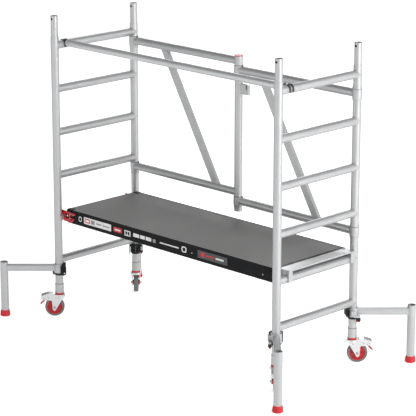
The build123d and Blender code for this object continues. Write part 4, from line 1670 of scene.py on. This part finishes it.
class TOWER_OT_stage(Operator):
    """Set up the pale floor, the soft lights and the camera"""

    bl_idname = "tower.stage"
    bl_label = "Set the Stage"

    def execute(self, context):
        self.floor()
        self.sky()
        self.light("key_light", (8.5, 0.8, 3.6), (0, 0, 0.9), 5.0, 620)
        self.light("fill_light", (-2.5, -8.5, 3.2), (0, 0, 0.9), 5.0, 150)
        self.light("back_light", (-5.5, 6.5, 4.5), (0, 0, 1.0), 4.0, 120)
        self.camera(context.scene)
        context.scene.view_settings.view_transform = "Standard"
        return {"FINISHED"}

    def floor(self):
        """A wide pale floor that looks white and lights the tower from below."""
        bm = bmesh.new()
        bmesh.ops.create_grid(bm, x_segments=8, y_segments=8, size=60)
        mesh = bpy.data.meshes.new("floor")
        bm.to_mesh(mesh)
        bm.free()
        finish = Finish("pale_floor")
        tree = finish.tree
        seen = tree.nodes.new("ShaderNodeLightPath").outputs["Is Camera Ray"]
        grain = ranged(tree, noise(tree, finish.place, 3.0), 0.3, 0.7, 0.0, 1.0)
        finish.blend(grain, (0.86,) * 3, (0.90,) * 3)
        glow = arithmetic(tree, "ADD", arithmetic(tree, "MULTIPLY", seen, 0.22), 0.42)
        tree.links.new(glow, finish.shader.inputs["Emission Strength"])
        finish.uniform(Emission_Color=WHITE, Roughness=0.9, Specular_IOR_Level=0.0)
        mesh.materials.append(finish.material)
        floor = bpy.data.objects.new("floor", mesh)
        bpy.context.scene.collection.objects.link(floor)

    def sky(self):
        """An even pale sky, dimmer overhead and brighter to the right."""
        world = bpy.data.worlds.new("studio")
        bpy.context.scene.world = world
        world.use_nodes = True
        tree = world.node_tree
        shell = tree.nodes["Background"]
        place = tree.nodes.new("ShaderNodeTexCoord").outputs["Generated"]
        parts = tree.nodes.new("ShaderNodeSeparateXYZ")
        tree.links.new(place, parts.inputs[0])
        right = ranged(tree, parts.outputs["X"], -1.0, 1.0, 0.32, 0.95)
        overhead = ranged(tree, parts.outputs["Z"], 0.1, 1.0, 1.0, 0.45)
        seen = tree.nodes.new("ShaderNodeLightPath").outputs["Is Camera Ray"]
        lighting = arithmetic(tree, "MULTIPLY", right, overhead)
        tree.links.new(arithmetic(tree, "MAXIMUM", lighting, seen), shell.inputs["Strength"])
        shell.inputs["Color"].default_value = WHITE

    def light(self, name, place, target, size, power):
        """A round area light aimed at a point."""
        lamp = bpy.data.lights.new(name, "AREA")
        lamp.shape = "DISK"
        lamp.size = size
        lamp.energy = power
        holder = bpy.data.objects.new(name, lamp)
        holder.location = place
        aim = Vector(target) - Vector(place)
        holder.rotation_euler = aim.to_track_quat("-Z", "Y").to_euler()
        bpy.context.scene.collection.objects.link(holder)

    def camera(self, scene):
        """A long lens that sees the tower from its front right corner."""
        lens = bpy.data.cameras.new("view")
        lens.lens = 172.49
        lens.sensor_width = 36
        lens.shift_x = 0.0117
        lens.shift_y = -0.0123
        lens.clip_end = 200
        holder = bpy.data.objects.new("view", lens)
        holder.location = (8.4044, -8.3581, 4.1519)
        holder.rotation_euler = (math.radians(90 - 15.439), 0, math.radians(45.091))
        scene.collection.objects.link(holder)
        scene.camera = holder


class TOWER_PT_sidebar(Panel):
    """The tower's steps, sizes and colours"""

    bl_idname = "TOWER_PT_sidebar"
    bl_label = "Tower Scaffold"
    bl_space_type = "VIEW_3D"
    bl_region_type = "UI"
    bl_category = "Tower"

    def draw(self, context):
        column = self.layout.column(align=True)
        for step in STEPS:
            column.operator(step.bl_idname)
        for group in (context.scene.tower_sizes, context.scene.tower_finishes):
            box = self.layout.box()
            for name in group.__annotations__:
                box.prop(group, name)


STEPS = (
    TOWER_OT_finishes,
    TOWER_OT_frame_welds,
    TOWER_OT_brace_welds,
    TOWER_OT_sleeve_pins,
    TOWER_OT_stem_gaskets,
    TOWER_OT_button_caps,
    TOWER_OT_hinge_rings,
    TOWER_OT_beam_panels,
    TOWER_OT_claw_inserts,
    TOWER_OT_deck_trim,
    TOWER_OT_castor_details,
    TOWER_OT_outrigger_details,
    TOWER_OT_guardrail_details,
    TOWER_OT_stage,
)
CLASSES = (TowerSizes, TowerFinishes, *STEPS, TOWER_PT_sidebar)


def register():
    """Registers the classes and hangs the settings on the scene."""
    for cls in CLASSES:
        bpy.utils.register_class(cls)
    bpy.types.Scene.tower_sizes = PointerProperty(type=TowerSizes)
    bpy.types.Scene.tower_finishes = PointerProperty(type=TowerFinishes)


def unregister():
    """Takes the settings and classes away again."""
    del bpy.types.Scene.tower_finishes
    del bpy.types.Scene.tower_sizes
    for cls in reversed(CLASSES):
        bpy.utils.unregister_class(cls)


def main():
    """Finishes the tower."""
    register()
    bpy.ops.tower.finishes()
    bpy.ops.tower.frame_welds()
    bpy.ops.tower.brace_welds()
    bpy.ops.tower.sleeve_pins()
    bpy.ops.tower.stem_gaskets()
    bpy.ops.tower.button_caps()
    bpy.ops.tower.hinge_rings()
    bpy.ops.tower.beam_panels()
    bpy.ops.tower.claw_inserts()
    bpy.ops.tower.deck_trim()
    bpy.ops.tower.castor_details()
    bpy.ops.tower.outrigger_details()
    bpy.ops.tower.guardrail_details()
    bpy.ops.tower.stage()


if __name__ == "__main__":
    main()
